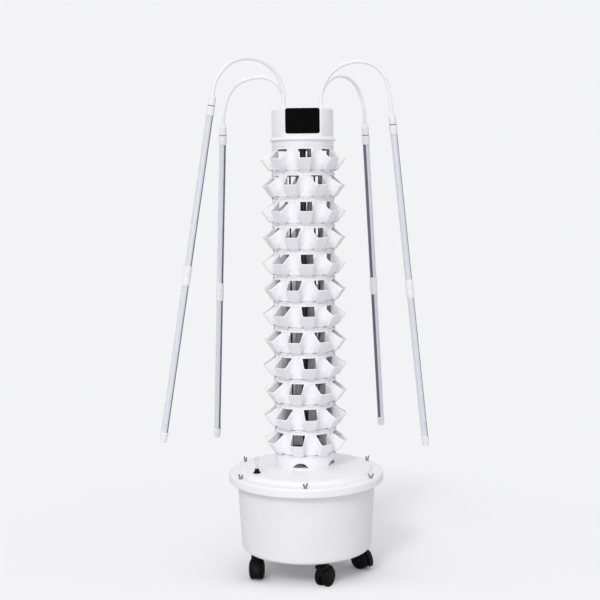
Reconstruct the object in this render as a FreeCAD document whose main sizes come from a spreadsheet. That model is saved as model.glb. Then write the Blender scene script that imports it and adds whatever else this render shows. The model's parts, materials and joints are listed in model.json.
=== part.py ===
import FreeCAD, Part

import math
import os

import Sketcher
from FreeCAD import Placement, Rotation, Vector

# Vertical planter tower: a column of stacked planting rings on a wheeled water tank, with a
# controller and four lamps on top. Millimetres, +Z up. The origin is on the floor, on the
# column's axis, and the controller's screen faces -Y.

os.makedirs("parts", exist_ok=True)
doc = FreeCAD.newDocument("planter_tower")
sheet = doc.addObject("Spreadsheet::Sheet", "Sizes")

SIZES = (
    ("play", 0.1, "radial clearance of a running or slip fit"),
    ("face_gap", 0.3, "gap between moving pieces that sit face to face"),
    ("overrun", 1.0, "how far joined forms run into each other"),
    # Tank
    ("tank_floor_z", 105.0, "underside of the tank above the floor"),
    ("tank_low_r", 251.0, "tank radius at its underside"),
    ("tank_high_r", 268.0, "tank radius under its flange"),
    ("tank_wall", 5.0, "wall of the tank"),
    ("tank_round", 16.0, "radius of the tank's lower corner"),
    ("flange_z", 383.0, "underside of the tank's flange"),
    ("flange_thick", 8.0, "thickness of the tank's flange"),
    ("flange_width", 24.0, "width of the tank's flange"),
    # Lid
    ("seal_thick", 3.0, "thickness of the lid's seal"),
    ("seal_inset", 1.0, "the seal's inner edge inside the tank's outer wall"),
    ("seal_width", 9.0, "width of the seal"),
    ("lid_overhang", 8.0, "how far the lid reaches past the tank's flange"),
    ("lid_plate", 12.0, "thickness of the lid's rim plate"),
    ("lid_skirt", 21.0, "depth of the rim below its plate"),
    ("lid_wall", 5.0, "wall of the lid"),
    ("lid_round", 10.0, "radius of the rim's upper edge"),
    ("rim_width", 38.0, "width of the lid's flat rim"),
    ("step_width", 14.0, "width of the step to the lid's raised middle"),
    ("step_rise", 15.0, "height of that step"),
    ("crown_rise", 6.0, "rise of the raised middle towards the column"),
    ("lid_hole_r", 104.0, "drain opening under the column"),
    ("collar_rise", 11.0, "height of the collar that centres the column"),
    # Wing bolts
    ("bolt_offset", 15.0, "circle of the wing bolts outside the tank's wall"),
    ("bolt_r", 4.0, "shank radius of a wing bolt"),
    ("bolt_count", 6, "number of wing bolts"),
    ("bolt_turn", -0.6, "turn of the bolt circle"),
    ("bolt_tail", 8.0, "length of a shank below the flange"),
    ("bolt_hub_r", 6.5, "radius of a wing bolt's hub"),
    ("bolt_hub_rise", 9.0, "height of a wing bolt's hub"),
    ("wing_span", 27.0, "width over a bolt's wings"),
    ("wing_rise", 22.0, "height of the wings above the rim"),
    ("wing_thick", 3.0, "thickness of a wing"),
    ("wing_lift", 1.0, "foot of the wings above the rim"),
    ("wing_root", 2.0, "inner edge of a wing from the bolt's axis"),
    ("wing_tip", 6.0, "width of a wing's tip"),
    ("wing_slant", 1.5, "slant of a wing's outer corner"),
    ("wing_shoulder", 5.0, "height of that corner"),
    ("wing_drop", 2.0, "root of a wing below the hub's top"),
    # Float gauge
    ("gauge_turn", -58.5, "place of the float gauge round the tank"),
    ("float_clear", 5.8, "gap between the float and the tank's lower wall"),
    ("gauge_rod_r", 3.0, "radius of the gauge's rod"),
    ("gauge_head_low_r", 4.5, "lower radius of the gauge's head"),
    ("gauge_head_high_r", 8.5, "upper radius of the gauge's head"),
    ("gauge_head_rise", 44.0, "height of the gauge's head"),
    ("grommet_r", 14.0, "foot radius of the gauge's grommet"),
    ("grommet_top_r", 8.0, "top radius of the gauge's grommet"),
    ("grommet_rise", 16.0, "height of the grommet above the lid"),
    ("grommet_neck_r", 9.0, "radius of the grommet's neck in the lid"),
    ("float_r", 22.0, "radius of the float"),
    ("float_rise", 40.0, "height of the float"),
    ("float_low_z", 125.0, "underside of the float when the tank is nearly empty"),
    # Column
    ("column_r", 117.5, "outer radius of the column"),
    ("column_wall", 4.5, "wall of the column"),
    ("ring_pitch", 97.7, "height of one planting ring"),
    ("ring_count", 12, "number of planting rings"),
    ("ring_slip", 0.55, "small turn that adds up from ring to ring"),
    ("ring_first_turn", 3.4, "turn of the top ring"),
    ("pocket_count", 8, "planting pockets round one ring"),
    ("lintel_drop", 9.5, "from a ring's top edge to the top of its windows"),
    ("mouth_drop", 6.0, "from the window's top to the start of the pocket's lip"),
    ("tip_drop", 35.2, "from the window's top down to the pocket's tip"),
    ("tip_r", 161.0, "radius of the pocket's tip"),
    ("sole_z", 9.2, "height of the pocket's flat sole in its ring"),
    ("sole_r", 129.0, "outer radius of the pocket's sole"),
    ("pocket_width", 54.0, "outer width of a pocket"),
    ("pocket_wall", 3.0, "wall of a pocket"),
    ("pocket_round", 10.0, "radius of a pocket's front corners"),
    ("foot_rise", 50.0, "height of the column's foot below the lowest ring"),
    ("arch_count", 5, "arches round the column's foot"),
    ("arch_r", 34.0, "radius of an arch"),
    ("arch_drop", 4.0, "depth of an arch's centre below the foot's edge"),
    ("arch_turn", -10.0, "turn of the first arch"),
    ("cap_rise", 34.0, "height of the column's cap above the top ring"),
    ("cap_plate", 4.0, "thickness of the cap's top plate"),
    # Water circuit
    ("riser_r", 11.5, "outer radius of the riser pipe"),
    ("riser_wall", 2.0, "wall of the riser pipe"),
    ("pump_r", 62.0, "radius of the pump"),
    ("strainer_rise", 40.0, "height of the pump's strainer"),
    ("pump_rise", 95.0, "height of the pump's body"),
    ("strainer_wall", 4.0, "wall of the pump's strainer"),
    ("strainer_slots", 12, "slots round the strainer"),
    ("strainer_slot_width", 8.0, "width of a strainer slot"),
    ("inlet_eye_r", 15.0, "radius of the pump's inlet eye"),
    ("volute_r", 36.0, "radius of the impeller's chamber"),
    ("volute_rise", 18.0, "height of the impeller's chamber"),
    ("neck_rise", 20.0, "height of the pump's outlet neck"),
    ("neck_wall", 4.0, "wall of the pump's outlet neck"),
    ("impeller_r", 32.0, "radius of the impeller"),
    ("impeller_rise", 10.0, "height of the impeller's blades"),
    ("impeller_plate", 3.0, "thickness of the impeller's plate"),
    ("impeller_blades", 6, "blades of the impeller"),
    ("shaft_r", 4.0, "radius of the impeller's shaft"),
    ("shaft_long", 40.0, "length of the impeller's shaft above its plate"),
    ("spray_thick", 6.0, "thickness of the spray disc"),
    ("spray_ring_r", 70.0, "circle of the spray holes"),
    ("spray_hole_r", 2.5, "radius of a spray hole"),
    ("spray_hole_count", 16, "number of spray holes"),
    ("spray_lift", 2.0, "spray disc above the top ring's upper edge"),
    ("riser_end", 10.0, "riser pipe above the spray disc"),
    ("lead_r", 3.5, "radius of a lead"),
    ("pump_lead_x", -50.0, "place of the pump's lead"),
    ("sensor_lead_x", 43.0, "place of the sensor's lead"),
    ("lead_end", 15.0, "leads above the controller's base plate"),
    ("clip_thick", 6.0, "thickness of a lead clip"),
    ("clip_width", 15.0, "width of a lead clip"),
    ("clip_count", 4, "number of lead clips"),
    ("clip_edge", 4.0, "clip material beyond a lead"),
    ("clip_step", 3, "rings from one clip to the next"),
    # Controller
    ("skirt_lip_r", 125.7, "radius of the controller's skirt at its lip"),
    ("skirt_lip_z", 24.0, "lip of the skirt above the top ring"),
    ("skirt_rise", 14.0, "height of the skirt's flare"),
    ("housing_inset", 0.5, "housing narrower than the column, all round"),
    ("housing_bevel", 5.0, "bevel round the housing's top"),
    ("skirt_edge", 2.0, "height of the skirt's lip"),
    ("housing_rise", 105.0, "height of the controller's housing"),
    ("housing_wall", 3.0, "wall of the housing"),
    ("housing_flat", 94.0, "distance of the housing's flat front from the axis"),
    ("screen_width", 127.0, "width of the screen"),
    ("screen_height", 93.0, "height of the screen"),
    ("screen_thick", 6.0, "thickness of the screen"),
    ("screen_round", 8.0, "corner radius of the screen"),
    ("screen_proud", 2.0, "how far the screen stands out of the flat front"),
    ("screen_foot", 10.0, "strip of housing below the screen"),
    ("post_r", 3.0, "radius of the posts that hold the circuit board"),
    ("post_long", 4.0, "length of those posts"),
    ("board_margin", 6.0, "circuit board smaller than the screen on each side"),
    ("board_thick", 1.6, "thickness of the circuit board"),
    ("slot_rise", 34.0, "height of a vent slot"),
    ("slot_width", 6.0, "width of a vent slot"),
    ("slot_turn", 66.0, "place of the vent slots round the housing"),
    ("slot_drop", 6.0, "vent slots below the housing's top"),
    ("inlet_r", 9.0, "radius of the power inlet"),
    ("inlet_proud", 6.0, "how far the power inlet stands out"),
    ("inlet_bore_r", 4.0, "radius of the power inlet's opening"),
    ("inlet_rise", 22.0, "power inlet above the housing's foot"),
    # Light arms and lamps
    ("arm_r", 7.0, "radius of a light arm"),
    ("socket_x", 70.0, "place of an arm's socket from the axis, sideways"),
    ("socket_y", 40.0, "place of an arm's socket from the axis, front to back"),
    ("socket_r", 11.0, "radius of an arm's socket"),
    ("socket_rise", 12.0, "height of an arm's socket above the housing"),
    ("socket_neck_r", 9.5, "radius of a socket's neck inside the housing"),
    ("socket_depth", 16.0, "depth of a socket's neck inside the housing"),
    ("socket_floor", 3.0, "thickness of a socket's floor"),
    ("sleeve_low_r", 13.0, "lower radius of a lamp's sleeve"),
    ("sleeve_high_r", 9.0, "upper radius of a lamp's sleeve"),
    ("sleeve_long", 40.0, "length of a lamp's sleeve"),
    ("sleeve_grip", 18.0, "depth of the arm in a lamp's sleeve"),
    ("sleeve_lead", 42.0, "straight end of an arm above its sleeve"),
    ("lamp_pin_r", 5.0, "radius of the pin on which a lamp turns"),
    ("lamp_pin_long", 16.0, "length of that pin"),
    ("holder_r", 15.5, "radius of a tube holder"),
    ("holder_long", 36.0, "length of a tube holder"),
    ("tube_r", 13.0, "radius of a light tube"),
    ("tube_long", 552.0, "visible length of a light tube"),
    ("tube_grip", 12.0, "depth of a light tube in its holder"),
    ("end_cap_r", 12.0, "radius of the end cap's tip"),
    ("end_cap_long", 38.0, "length of the end cap"),
    # Lamp seams from their sockets' mouths, and the lamps' lean for each unit downwards
    ("lamp_1_x", -261.0, "front left lamp, sideways from its socket"),
    ("lamp_1_y", -125.0, "front left lamp, front to back"),
    ("lamp_1_z", -9.0, "front left lamp, height"),
    ("lamp_1_lean_x", -0.159, "front left lamp, sideways lean"),
    ("lamp_1_lean_y", -0.020, "front left lamp, lean to the back"),
    ("lamp_2_x", -238.0, "back left lamp, sideways from its socket"),
    ("lamp_2_y", 43.0, "back left lamp, front to back"),
    ("lamp_2_z", -101.0, "back left lamp, height"),
    ("lamp_2_lean_x", -0.048, "back left lamp, sideways lean"),
    ("lamp_2_lean_y", 0.173, "back left lamp, lean to the back"),
    ("lamp_3_x", 181.0, "back right lamp, sideways from its socket"),
    ("lamp_3_y", 176.0, "back right lamp, front to back"),
    ("lamp_3_z", -98.0, "back right lamp, height"),
    ("lamp_3_lean_x", 0.060, "back right lamp, sideways lean"),
    ("lamp_3_lean_y", 0.201, "back right lamp, lean to the back"),
    ("lamp_4_x", 268.0, "front right lamp, sideways from its socket"),
    ("lamp_4_y", -15.0, "front right lamp, front to back"),
    ("lamp_4_z", -76.0, "front right lamp, height"),
    ("lamp_4_lean_x", 0.106, "front right lamp, sideways lean"),
    ("lamp_4_lean_y", 0.074, "front right lamp, lean to the back"),
    # Casters
    ("caster_circle_r", 200.0, "circle of the casters' swivel axes"),
    ("caster_turn", 15.0, "turn of the first caster"),
    ("caster_count", 4, "number of casters"),
    ("caster_trail", 30.0, "swivel axis to axle"),
    ("wheel_r", 37.5, "radius of a caster's wheels"),
    ("wheel_width", 21.0, "width of one wheel"),
    ("web_thick", 12.0, "thickness of the caster's web between its wheels"),
    ("axle_r", 4.0, "radius of the casters' axle"),
    ("wheel_gap", 0.6, "gap between a wheel and the web"),
    ("wheel_bevel", 2.0, "bevel of a wheel's edges"),
    ("hub_r", 11.0, "radius of a wheel's raised hub"),
    ("dish_r", 30.0, "radius of the dished ring round the hub"),
    ("dish_deep", 2.5, "depth of that dish"),
    ("hood_gap", 2.0, "gap between wheel and hood"),
    ("hood_wall", 3.0, "wall of the hood"),
    ("hood_start", 44.0, "angle at which the hood starts behind the axle"),
    ("hood_end", 165.0, "angle at which the hood ends in front of the axle"),
    ("swivel_pin_r", 5.5, "radius of a caster's swivel pin"),
    ("swivel_boss_r", 12.0, "radius of the boss round the swivel pin"),
    ("swivel_boss_drop", 40.0, "height of the hood's boss"),
    ("swivel_pin_long", 11.5, "length of the swivel pin above the boss"),
    ("web_r", 31.0, "radius of the web round the axle"),
    ("plate_r", 19.0, "radius of a caster's mounting plate"),
    ("plate_thick", 4.0, "thickness of a caster's mounting plate"),
    ("plate_boss", 15.0, "depth of the plate's bearing below it"),
    ("pedal_angle", 38.0, "angle of the pedal's hinge behind the axle"),
    ("pedal_long", 46.0, "length of a brake pedal"),
    ("pedal_thick", 3.0, "thickness of a brake pedal"),
    ("pedal_barrel_r", 3.5, "radius of the pedal's hinge barrel"),
    ("pedal_pin_r", 1.5, "radius of the pedal's hinge pin"),
    ("pedal_lug", 5.0, "width of a lug beside the pedal"),
)


class Size(float):
    """A length with the sheet expression that gives it."""

    def __new__(cls, value, text):
        size = float.__new__(cls, value)
        size.text = text
        return size

    def joined(self, sign, other, swap, value):
        left, right = (text_of(other), self.text) if swap else (self.text, text_of(other))
        return Size(value, f"({left} {sign} {right})")

    def __add__(self, other):
        return self.joined("+", other, False, float(self) + float(other))

    def __radd__(self, other):
        return self.joined("+", other, True, float(self) + float(other))

    def __sub__(self, other):
        return self.joined("-", other, False, float(self) - float(other))

    def __rsub__(self, other):
        return self.joined("-", other, True, float(other) - float(self))

    def __mul__(self, other):
        return self.joined("*", other, False, float(self) * float(other))

    def __rmul__(self, other):
        return self.joined("*", other, True, float(self) * float(other))

    def __truediv__(self, other):
        return self.joined("/", other, False, float(self) / float(other))


def text_of(value):
    return value.text if isinstance(value, Size) else repr(float(value))


def write_sheet():
    for row, (alias, value, note) in enumerate(SIZES, start=1):
        sheet.set(f"A{row}", note)
        sheet.set(f"B{row}", str(value))
        sheet.setAlias(f"B{row}", alias)
    doc.recompute()


class Named:
    """The sheet's sizes as attributes."""

    def __getattr__(self, alias):
        return Size(sheet.get(alias), f"Sizes.{alias}")


write_sheet()
mm = Named()
SUB_PARTS = []


def bind(feature, prop, value):
    """Set a property and tie it to the sheet."""
    if prop.startswith("."):
        feature.setExpression(prop, text_of(value))
        return
    setattr(feature, prop, float(value))
    if isinstance(value, Size):
        feature.setExpression(prop, value.text)


def place(feature, x=0.0, y=0.0, z=0.0, rotation=None):
    feature.Placement = Placement(Vector(float(x), float(y), float(z)), rotation or Rotation())
    for axis, value in (("x", x), ("y", y), ("z", z)):
        if isinstance(value, Size):
            bind(feature, f".Placement.Base.{axis}", value)
    return feature


def cylinder(name, radius, height, x=0.0, y=0.0, z=0.0, rotation=None):
    feature = doc.addObject("Part::Cylinder", name)
    bind(feature, "Radius", radius)
    bind(feature, "Height", height)
    return place(feature, x, y, z, rotation)


def cone(name, low_r, high_r, height, x=0.0, y=0.0, z=0.0, rotation=None):
    feature = doc.addObject("Part::Cone", name)
    bind(feature, "Radius1", low_r)
    bind(feature, "Radius2", high_r)
    bind(feature, "Height", height)
    return place(feature, x, y, z, rotation)


def box(name, length, width, height, x=0.0, y=0.0, z=0.0, rotation=None):
    feature = doc.addObject("Part::Box", name)
    bind(feature, "Length", length)
    bind(feature, "Width", width)
    bind(feature, "Height", height)
    return place(feature, x, y, z, rotation)


def cut(name, base, tool):
    feature = doc.addObject("Part::Cut", name)
    feature.Base = base
    feature.Tool = tool
    return feature


def fuse(name, shapes):
    feature = doc.addObject("Part::MultiFuse", name)
    feature.Shapes = shapes
    return feature


def group(name, members):
    feature = doc.addObject("Part::Compound", name)
    feature.Links = members
    return feature


def solid(name, shape, placement=None):
    feature = doc.addObject("Part::Feature", name)
    feature.Shape = shape
    feature.Placement = placement or Placement()
    return feature


def sub_part(label, feature):
    feature.Label = label
    SUB_PARTS.append(feature)
    return feature


def tube(name, outer_r, inner_r, height, x=0.0, y=0.0, z=0.0):
    outer = cylinder(f"{name}_outer", outer_r, height, x, y, z)
    inner = cylinder(f"{name}_bore", inner_r, height, x, y, z)
    return cut(name, outer, inner)


def new_body(name):
    return doc.addObject("PartDesign::Body", name)


def origin_plane(body, role):
    return next(item for item in body.Origin.OriginFeatures if item.Role == role)


def outline(body, name, role, points):
    """A closed sketch of straight lines whose corners are tied to the sheet."""
    sketch = body.newObject("Sketcher::SketchObject", name)
    sketch.AttachmentSupport = [(origin_plane(body, role), "")]
    sketch.MapMode = "FlatFace"
    count = len(points)
    for index, (x, y) in enumerate(points):
        next_x, next_y = points[(index + 1) % count]
        start = Vector(float(x), float(y), 0)
        sketch.addGeometry(Part.LineSegment(start, Vector(float(next_x), float(next_y), 0)), False)
    for index in range(count):
        sketch.addConstraint(Sketcher.Constraint("Coincident", index, 2, (index + 1) % count, 1))
    for index, (x, y) in enumerate(points):
        for kind, value, axis in (("DistanceX", x, -2), ("DistanceY", y, -1)):
            if float(value) == 0.0:
                sketch.addConstraint(Sketcher.Constraint("PointOnObject", index, 1, axis))
                continue
            number = sketch.addConstraint(
                Sketcher.Constraint(kind, -1, 1, index, 1, float(value)))
            if isinstance(value, Size):
                sketch.setExpression(f"Constraints[{number}]", value.text)
    return sketch


def revolved(name, points):
    """A body turned about Z from an outline of (radius, height) corners."""
    body = new_body(name)
    sketch = outline(body, f"{name}_outline", "XZ_Plane", points)
    turn = body.newObject("PartDesign::Revolution", f"{name}_turn")
    turn.Profile = sketch
    turn.ReferenceAxis = (sketch, ["V_Axis"])
    turn.Angle = 360
    sketch.Visibility = False
    return body


def side_profile(body, name, kind, points, width):
    """A pad or pocket of a Y-Z outline, centred on X."""
    sketch = outline(body, f"{name}_outline", "YZ_Plane", points)
    feature = body.newObject(kind, name)
    feature.Profile = sketch
    feature.Type = 0
    feature.Midplane = True
    bind(feature, "Length", width)
    return feature


def round_pattern(body, name, feature, count):
    pattern = body.newObject("PartDesign::PolarPattern", name)
    pattern.Originals = [feature]
    pattern.Axis = (origin_plane_axis(body), [""])
    pattern.Angle = 360
    pattern.Occurrences = int(count)
    pattern.setExpression("Occurrences", text_of(count))
    body.Tip = pattern
    return pattern


def origin_plane_axis(body):
    return next(item for item in body.Origin.OriginFeatures if item.Role == "Z_Axis")


def round_edges(body, name, radius, wanted):
    """Fillet the edges of the body's tip for which wanted(edge) holds."""
    doc.recompute()
    base = body.Tip
    names = [f"Edge{number}" for number, edge in enumerate(base.Shape.Edges, start=1)
             if wanted(edge)]
    fillet = body.newObject("PartDesign::Fillet", name)
    fillet.Base = (base, names)
    bind(fillet, "Radius", radius)
    body.Tip = fillet
    return fillet


def circle_at(radius, height):
    """Test for a round edge about Z of this radius and height."""
    def wanted(edge):
        if not isinstance(edge.Curve, Part.Circle):
            return False
        centre = edge.Curve.Center
        return abs(edge.Curve.Radius - radius) < 0.01 and abs(centre.z - height) < 0.01
    return wanted


def turned(angle):
    return Rotation(Vector(0, 0, 1), float(angle))


def round_z(radius, angle):
    """A point on a circle about Z; angle 0 is the front, -Y, and grows towards +X."""
    turn = math.radians(float(angle))
    return Vector(float(radius) * math.sin(turn), -float(radius) * math.cos(turn), 0)


# Heights and radii that several pieces share.
flange_top = mm.flange_z + mm.flange_thick
flange_r = mm.tank_high_r + mm.flange_width
lid_r = flange_r + mm.lid_overhang
bolt_circle_r = mm.tank_high_r + mm.bolt_offset
step_low_r = lid_r - mm.rim_width
step_high_r = step_low_r - mm.step_width
lid_under = flange_top + mm.seal_thick
rim_top = lid_under + mm.lid_plate
step_top = rim_top + mm.step_rise
crown_z = step_top + mm.crown_rise
column_in_r = mm.column_r - mm.column_wall
housing_r = mm.column_r - mm.housing_inset
rings_low = crown_z + mm.foot_rise
rings_high = rings_low + mm.ring_count * mm.ring_pitch
cap_top = rings_high + mm.cap_rise
housing_low = rings_high + mm.skirt_lip_z + mm.skirt_rise
housing_top = housing_low + mm.housing_rise
socket_mouth = housing_top + mm.socket_rise
floor_top = mm.tank_floor_z + mm.tank_wall
pump_low = floor_top + mm.strainer_rise
pump_top = pump_low + mm.pump_rise
spray_low = rings_high + mm.spray_lift
lead_top = housing_low + mm.lead_end
bearing_low = mm.tank_floor_z - mm.plate_thick - mm.plate_boss


def make_tank():
    body = revolved("tank", [
        (0, mm.tank_floor_z),
        (mm.tank_low_r, mm.tank_floor_z),
        (mm.tank_high_r, mm.flange_z),
        (flange_r, mm.flange_z),
        (flange_r, flange_top),
        (mm.tank_high_r - mm.tank_wall, flange_top),
        (mm.tank_high_r - mm.tank_wall, mm.flange_z),
        (mm.tank_low_r - mm.tank_wall, floor_top + mm.tank_wall * 4),
        (mm.tank_low_r - mm.tank_wall * 5, floor_top),
        (0, floor_top),
    ])
    round_edges(body, "tank_corner", mm.tank_round,
                circle_at(mm.tank_low_r, mm.tank_floor_z))
    shank = group("tank_bolt_holes", [
        cylinder(f"tank_bolt_hole_{number}", mm.bolt_r + mm.play / 2, mm.flange_thick * 3,
                 spot.x, spot.y, mm.flange_z - mm.flange_thick)
        for number, spot in enumerate(bolt_spots())])
    sub_part("tank_body", cut("tank_drilled", body, shank))


def bolt_spots():
    step = 360.0 / mm.bolt_count
    return [round_z(bolt_circle_r, mm.bolt_turn + step * number)
            for number in range(int(mm.bolt_count))]


def make_seal():
    inner = mm.tank_high_r - mm.seal_inset
    sub_part("lid_seal", tube("seal", inner + mm.seal_width, inner, mm.seal_thick, z=flange_top))


def gauge_circle_r():
    return mm.tank_low_r - mm.tank_wall - mm.float_clear - mm.float_r


def make_lid():
    gauge = round_z(gauge_circle_r(), mm.gauge_turn)
    skirt_low = lid_under - mm.lid_skirt
    skirt_in_r = lid_r - mm.lid_wall
    collar_out_r = column_in_r - mm.play
    body = revolved("lid", [
        (lid_r, skirt_low),
        (lid_r, rim_top),
        (step_low_r, rim_top),
        (step_high_r, step_top),
        (collar_out_r, crown_z),
        (collar_out_r, crown_z + mm.collar_rise),
        (mm.lid_hole_r, crown_z + mm.collar_rise),
        (mm.lid_hole_r, crown_z - mm.lid_wall),
        (step_high_r - mm.lid_wall, step_top - mm.lid_wall),
        (step_low_r - mm.lid_wall, lid_under),
        (skirt_in_r, lid_under),
        (skirt_in_r, skirt_low),
    ])
    round_edges(body, "lid_edge", mm.lid_round, circle_at(lid_r, rim_top))
    holes = [cylinder(f"lid_bolt_hole_{number}", mm.bolt_r + mm.play, mm.lid_plate * 3,
                      spot.x, spot.y, lid_under - mm.lid_plate)
             for number, spot in enumerate(bolt_spots())]
    holes.append(cylinder("lid_gauge_hole", mm.grommet_neck_r + mm.play, mm.lid_wall * 12,
                          gauge.x, gauge.y, step_top - mm.lid_wall * 6))
    sub_part("tank_lid", cut("lid_drilled", body, group("lid_holes", holes)))


def wing_outline(hub_top):
    """One wing bolt's two wings, seen from the side."""
    half_span = mm.wing_span / 2
    low = rim_top + mm.wing_lift
    tip = rim_top + mm.wing_rise
    corners = []
    for side in (1, -1):
        corners.append([
            Vector(side * mm.wing_root, 0, low), Vector(side * mm.bolt_hub_r, 0, low),
            Vector(side * half_span, 0, tip - mm.wing_shoulder),
            Vector(side * (half_span - mm.wing_slant), 0, tip),
            Vector(side * (half_span - mm.wing_tip), 0, tip),
            Vector(side * mm.wing_root, 0, hub_top - mm.wing_drop)])
    return corners


# Way that each wing bolt's wings stand, as a turn from the X axis, from the front bolt on.
WING_TURNS = (41.0, 5.0, 50.0, 20.0, 125.0, 145.0)


def make_wing_bolts():
    bolts = []
    hub_top = rim_top + mm.bolt_hub_rise
    shank_low = mm.flange_z - mm.bolt_tail
    for number, spot in enumerate(bolt_spots()):
        shank = Part.makeCylinder(mm.bolt_r, rim_top - shank_low, Vector(0, 0, shank_low))
        hub = Part.makeCylinder(mm.bolt_hub_r, mm.bolt_hub_rise, Vector(0, 0, rim_top))
        shape = shank.fuse(hub)
        for corners in wing_outline(hub_top):
            wire = Part.makePolygon(corners + [corners[0]])
            wing = Part.Face(wire).extrude(Vector(0, mm.wing_thick, 0))
            wing.translate(Vector(0, -mm.wing_thick / 2, 0))
            shape = shape.fuse(wing)
        angle = WING_TURNS[number % len(WING_TURNS)]
        bolts.append(solid(f"wing_bolt_{number}", shape.removeSplitter(),
                           Placement(spot, turned(angle))))
    sub_part("wing_bolts", group("wing_bolt_group", bolts))


def make_gauge():
    gauge = round_z(gauge_circle_r(), mm.gauge_turn)
    lid_z = lid_surface(gauge_circle_r())
    foot_z = lid_surface(gauge_circle_r() - mm.grommet_r)
    rod_hole = mm.gauge_rod_r + mm.play
    neck_low = lid_z - mm.lid_wall * 2
    neck = cylinder("grommet_neck", mm.grommet_neck_r, foot_z + mm.overrun - neck_low,
                    gauge.x, gauge.y, neck_low)
    bell = cone("grommet_bell", mm.grommet_r, mm.grommet_top_r, mm.grommet_rise,
                gauge.x, gauge.y, foot_z)
    hole = cylinder("grommet_hole", rod_hole, mm.grommet_rise * 4,
                    gauge.x, gauge.y, neck_low - mm.overrun)
    sub_part("gauge_grommet", cut("grommet", fuse("grommet_solid", [neck, bell]), hole))
    head_low = foot_z + mm.grommet_rise + mm.face_gap
    float_top = mm.float_low_z + mm.float_rise
    head = cone("gauge_head", mm.gauge_head_low_r, mm.gauge_head_high_r, mm.gauge_head_rise,
                gauge.x, gauge.y, head_low)
    rod = cylinder("gauge_stem", mm.gauge_rod_r, head_low + mm.overrun - float_top,
                   gauge.x, gauge.y, float_top)
    sub_part("gauge_rod", fuse("gauge_rod_solid", [head, rod]))
    sub_part("gauge_float", cylinder("gauge_float_solid", mm.float_r, mm.float_rise,
                                     gauge.x, gauge.y, mm.float_low_z))


def lid_surface(radius):
    """Height of the lid's raised middle at a radius."""
    share = (step_high_r - radius) / (step_high_r - column_in_r)
    return step_top + mm.crown_rise * share


def make_foot():
    wall = tube("foot_wall", mm.column_r, column_in_r, mm.foot_rise, z=crown_z)
    arches = []
    for number in range(int(mm.arch_count)):
        angle = mm.arch_turn + 360.0 / mm.arch_count * number
        along = Rotation(Vector(0, 0, 1), round_z(1, angle))
        arches.append(cylinder(f"arch_{number}", mm.arch_r, mm.column_r * 1.5,
                               0, 0, crown_z - mm.arch_drop, along))
    sub_part("column_foot", cut("foot", wall, group("arches", arches)))


def make_ring_master():
    """One planting ring with a pocket at +Y; its lower edge lies at Z = 0."""
    window_top = mm.ring_pitch - mm.lintel_drop
    tip_z = window_top - mm.tip_drop
    lip_z = window_top - mm.mouth_drop
    # The mouth's slope, carried on to a point inside the wall.
    slope = (lip_z - tip_z) / (mm.tip_r - mm.column_r)
    inside_r = mm.column_r - mm.column_wall * 3
    # The front wall leans outwards between sole and tip.
    lean = (mm.tip_r - mm.sole_r) / (tip_z - mm.sole_z)
    wall_shift = mm.pocket_wall * math.hypot(1, lean)
    floor_z = mm.sole_z + mm.pocket_wall
    body = new_body("ring_master")
    wall = body.newObject("Sketcher::SketchObject", "ring_wall_outline")
    wall.AttachmentSupport = [(origin_plane(body, "XY_Plane"), "")]
    wall.MapMode = "FlatFace"
    for radius in (mm.column_r, column_in_r):
        number = wall.addGeometry(Part.Circle(Vector(), Vector(0, 0, 1), float(radius)), False)
        wall.addConstraint(Sketcher.Constraint("Coincident", number, 3, -1, 1))
        bound = wall.addConstraint(Sketcher.Constraint("Radius", number, float(radius)))
        wall.setExpression(f"Constraints[{bound}]", radius.text)
    pad = body.newObject("PartDesign::Pad", "ring_wall")
    pad.Profile = wall
    bind(pad, "Length", mm.ring_pitch)
    scoop = side_profile(body, "scoop", "PartDesign::Pad", [
        (inside_r, mm.sole_z),
        (mm.sole_r, mm.sole_z),
        (mm.tip_r, tip_z),
        (inside_r, tip_z + slope * (mm.tip_r - inside_r)),
    ], mm.pocket_width)
    round_pattern(body, "scoops", scoop, mm.pocket_count)
    round_edges(body, "scoop_corners", mm.pocket_round, leaning_edge(mm.pocket_width / 2))
    bore = body.newObject("Sketcher::SketchObject", "ring_bore_outline")
    bore.AttachmentSupport = [(origin_plane(body, "XY_Plane"), "")]
    bore.MapMode = "FlatFace"
    bore.addGeometry(Part.Circle(Vector(), Vector(0, 0, 1), float(column_in_r)), False)
    bore.addConstraint(Sketcher.Constraint("Coincident", 0, 3, -1, 1))
    bound = bore.addConstraint(Sketcher.Constraint("Radius", 0, float(column_in_r)))
    bore.setExpression(f"Constraints[{bound}]", column_in_r.text)
    clear = body.newObject("PartDesign::Pocket", "ring_bore")
    clear.Profile = bore
    clear.Type = 1
    clear.Midplane = True
    cavity = side_profile(body, "cavity", "PartDesign::Pocket", [
        (inside_r, floor_z),
        (mm.sole_r + lean * (floor_z - mm.sole_z) - wall_shift, floor_z),
        (mm.sole_r + lean * (window_top - mm.sole_z) - wall_shift, window_top),
        (inside_r, window_top),
    ], mm.pocket_width - mm.pocket_wall * 2)
    round_pattern(body, "cavities", cavity, mm.pocket_count)
    round_edges(body, "cavity_corners", mm.pocket_round - mm.pocket_wall,
                leaning_edge(mm.pocket_width / 2 - mm.pocket_wall))
    return body


def leaning_edge(half_width):
    """Test for a pocket's straight front corner, half_width beside the pocket's middle."""
    def wanted(edge):
        if not isinstance(edge.Curve, Part.Line) or len(edge.Vertexes) < 2:
            return False
        low, high = sorted((vertex.Point for vertex in edge.Vertexes), key=lambda p: p.z)
        out = math.hypot(high.x, high.y) - math.hypot(low.x, low.y)
        step = 2 * math.pi / mm.pocket_count
        angle = math.atan2(low.x, low.y)
        beside = math.hypot(low.x, low.y) * abs(math.sin(angle - step * round(angle / step)))
        leans = out > mm.pocket_wall and high.z - low.z > mm.pocket_wall
        return leans and abs(beside - half_width) < 0.01
    return wanted


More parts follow.
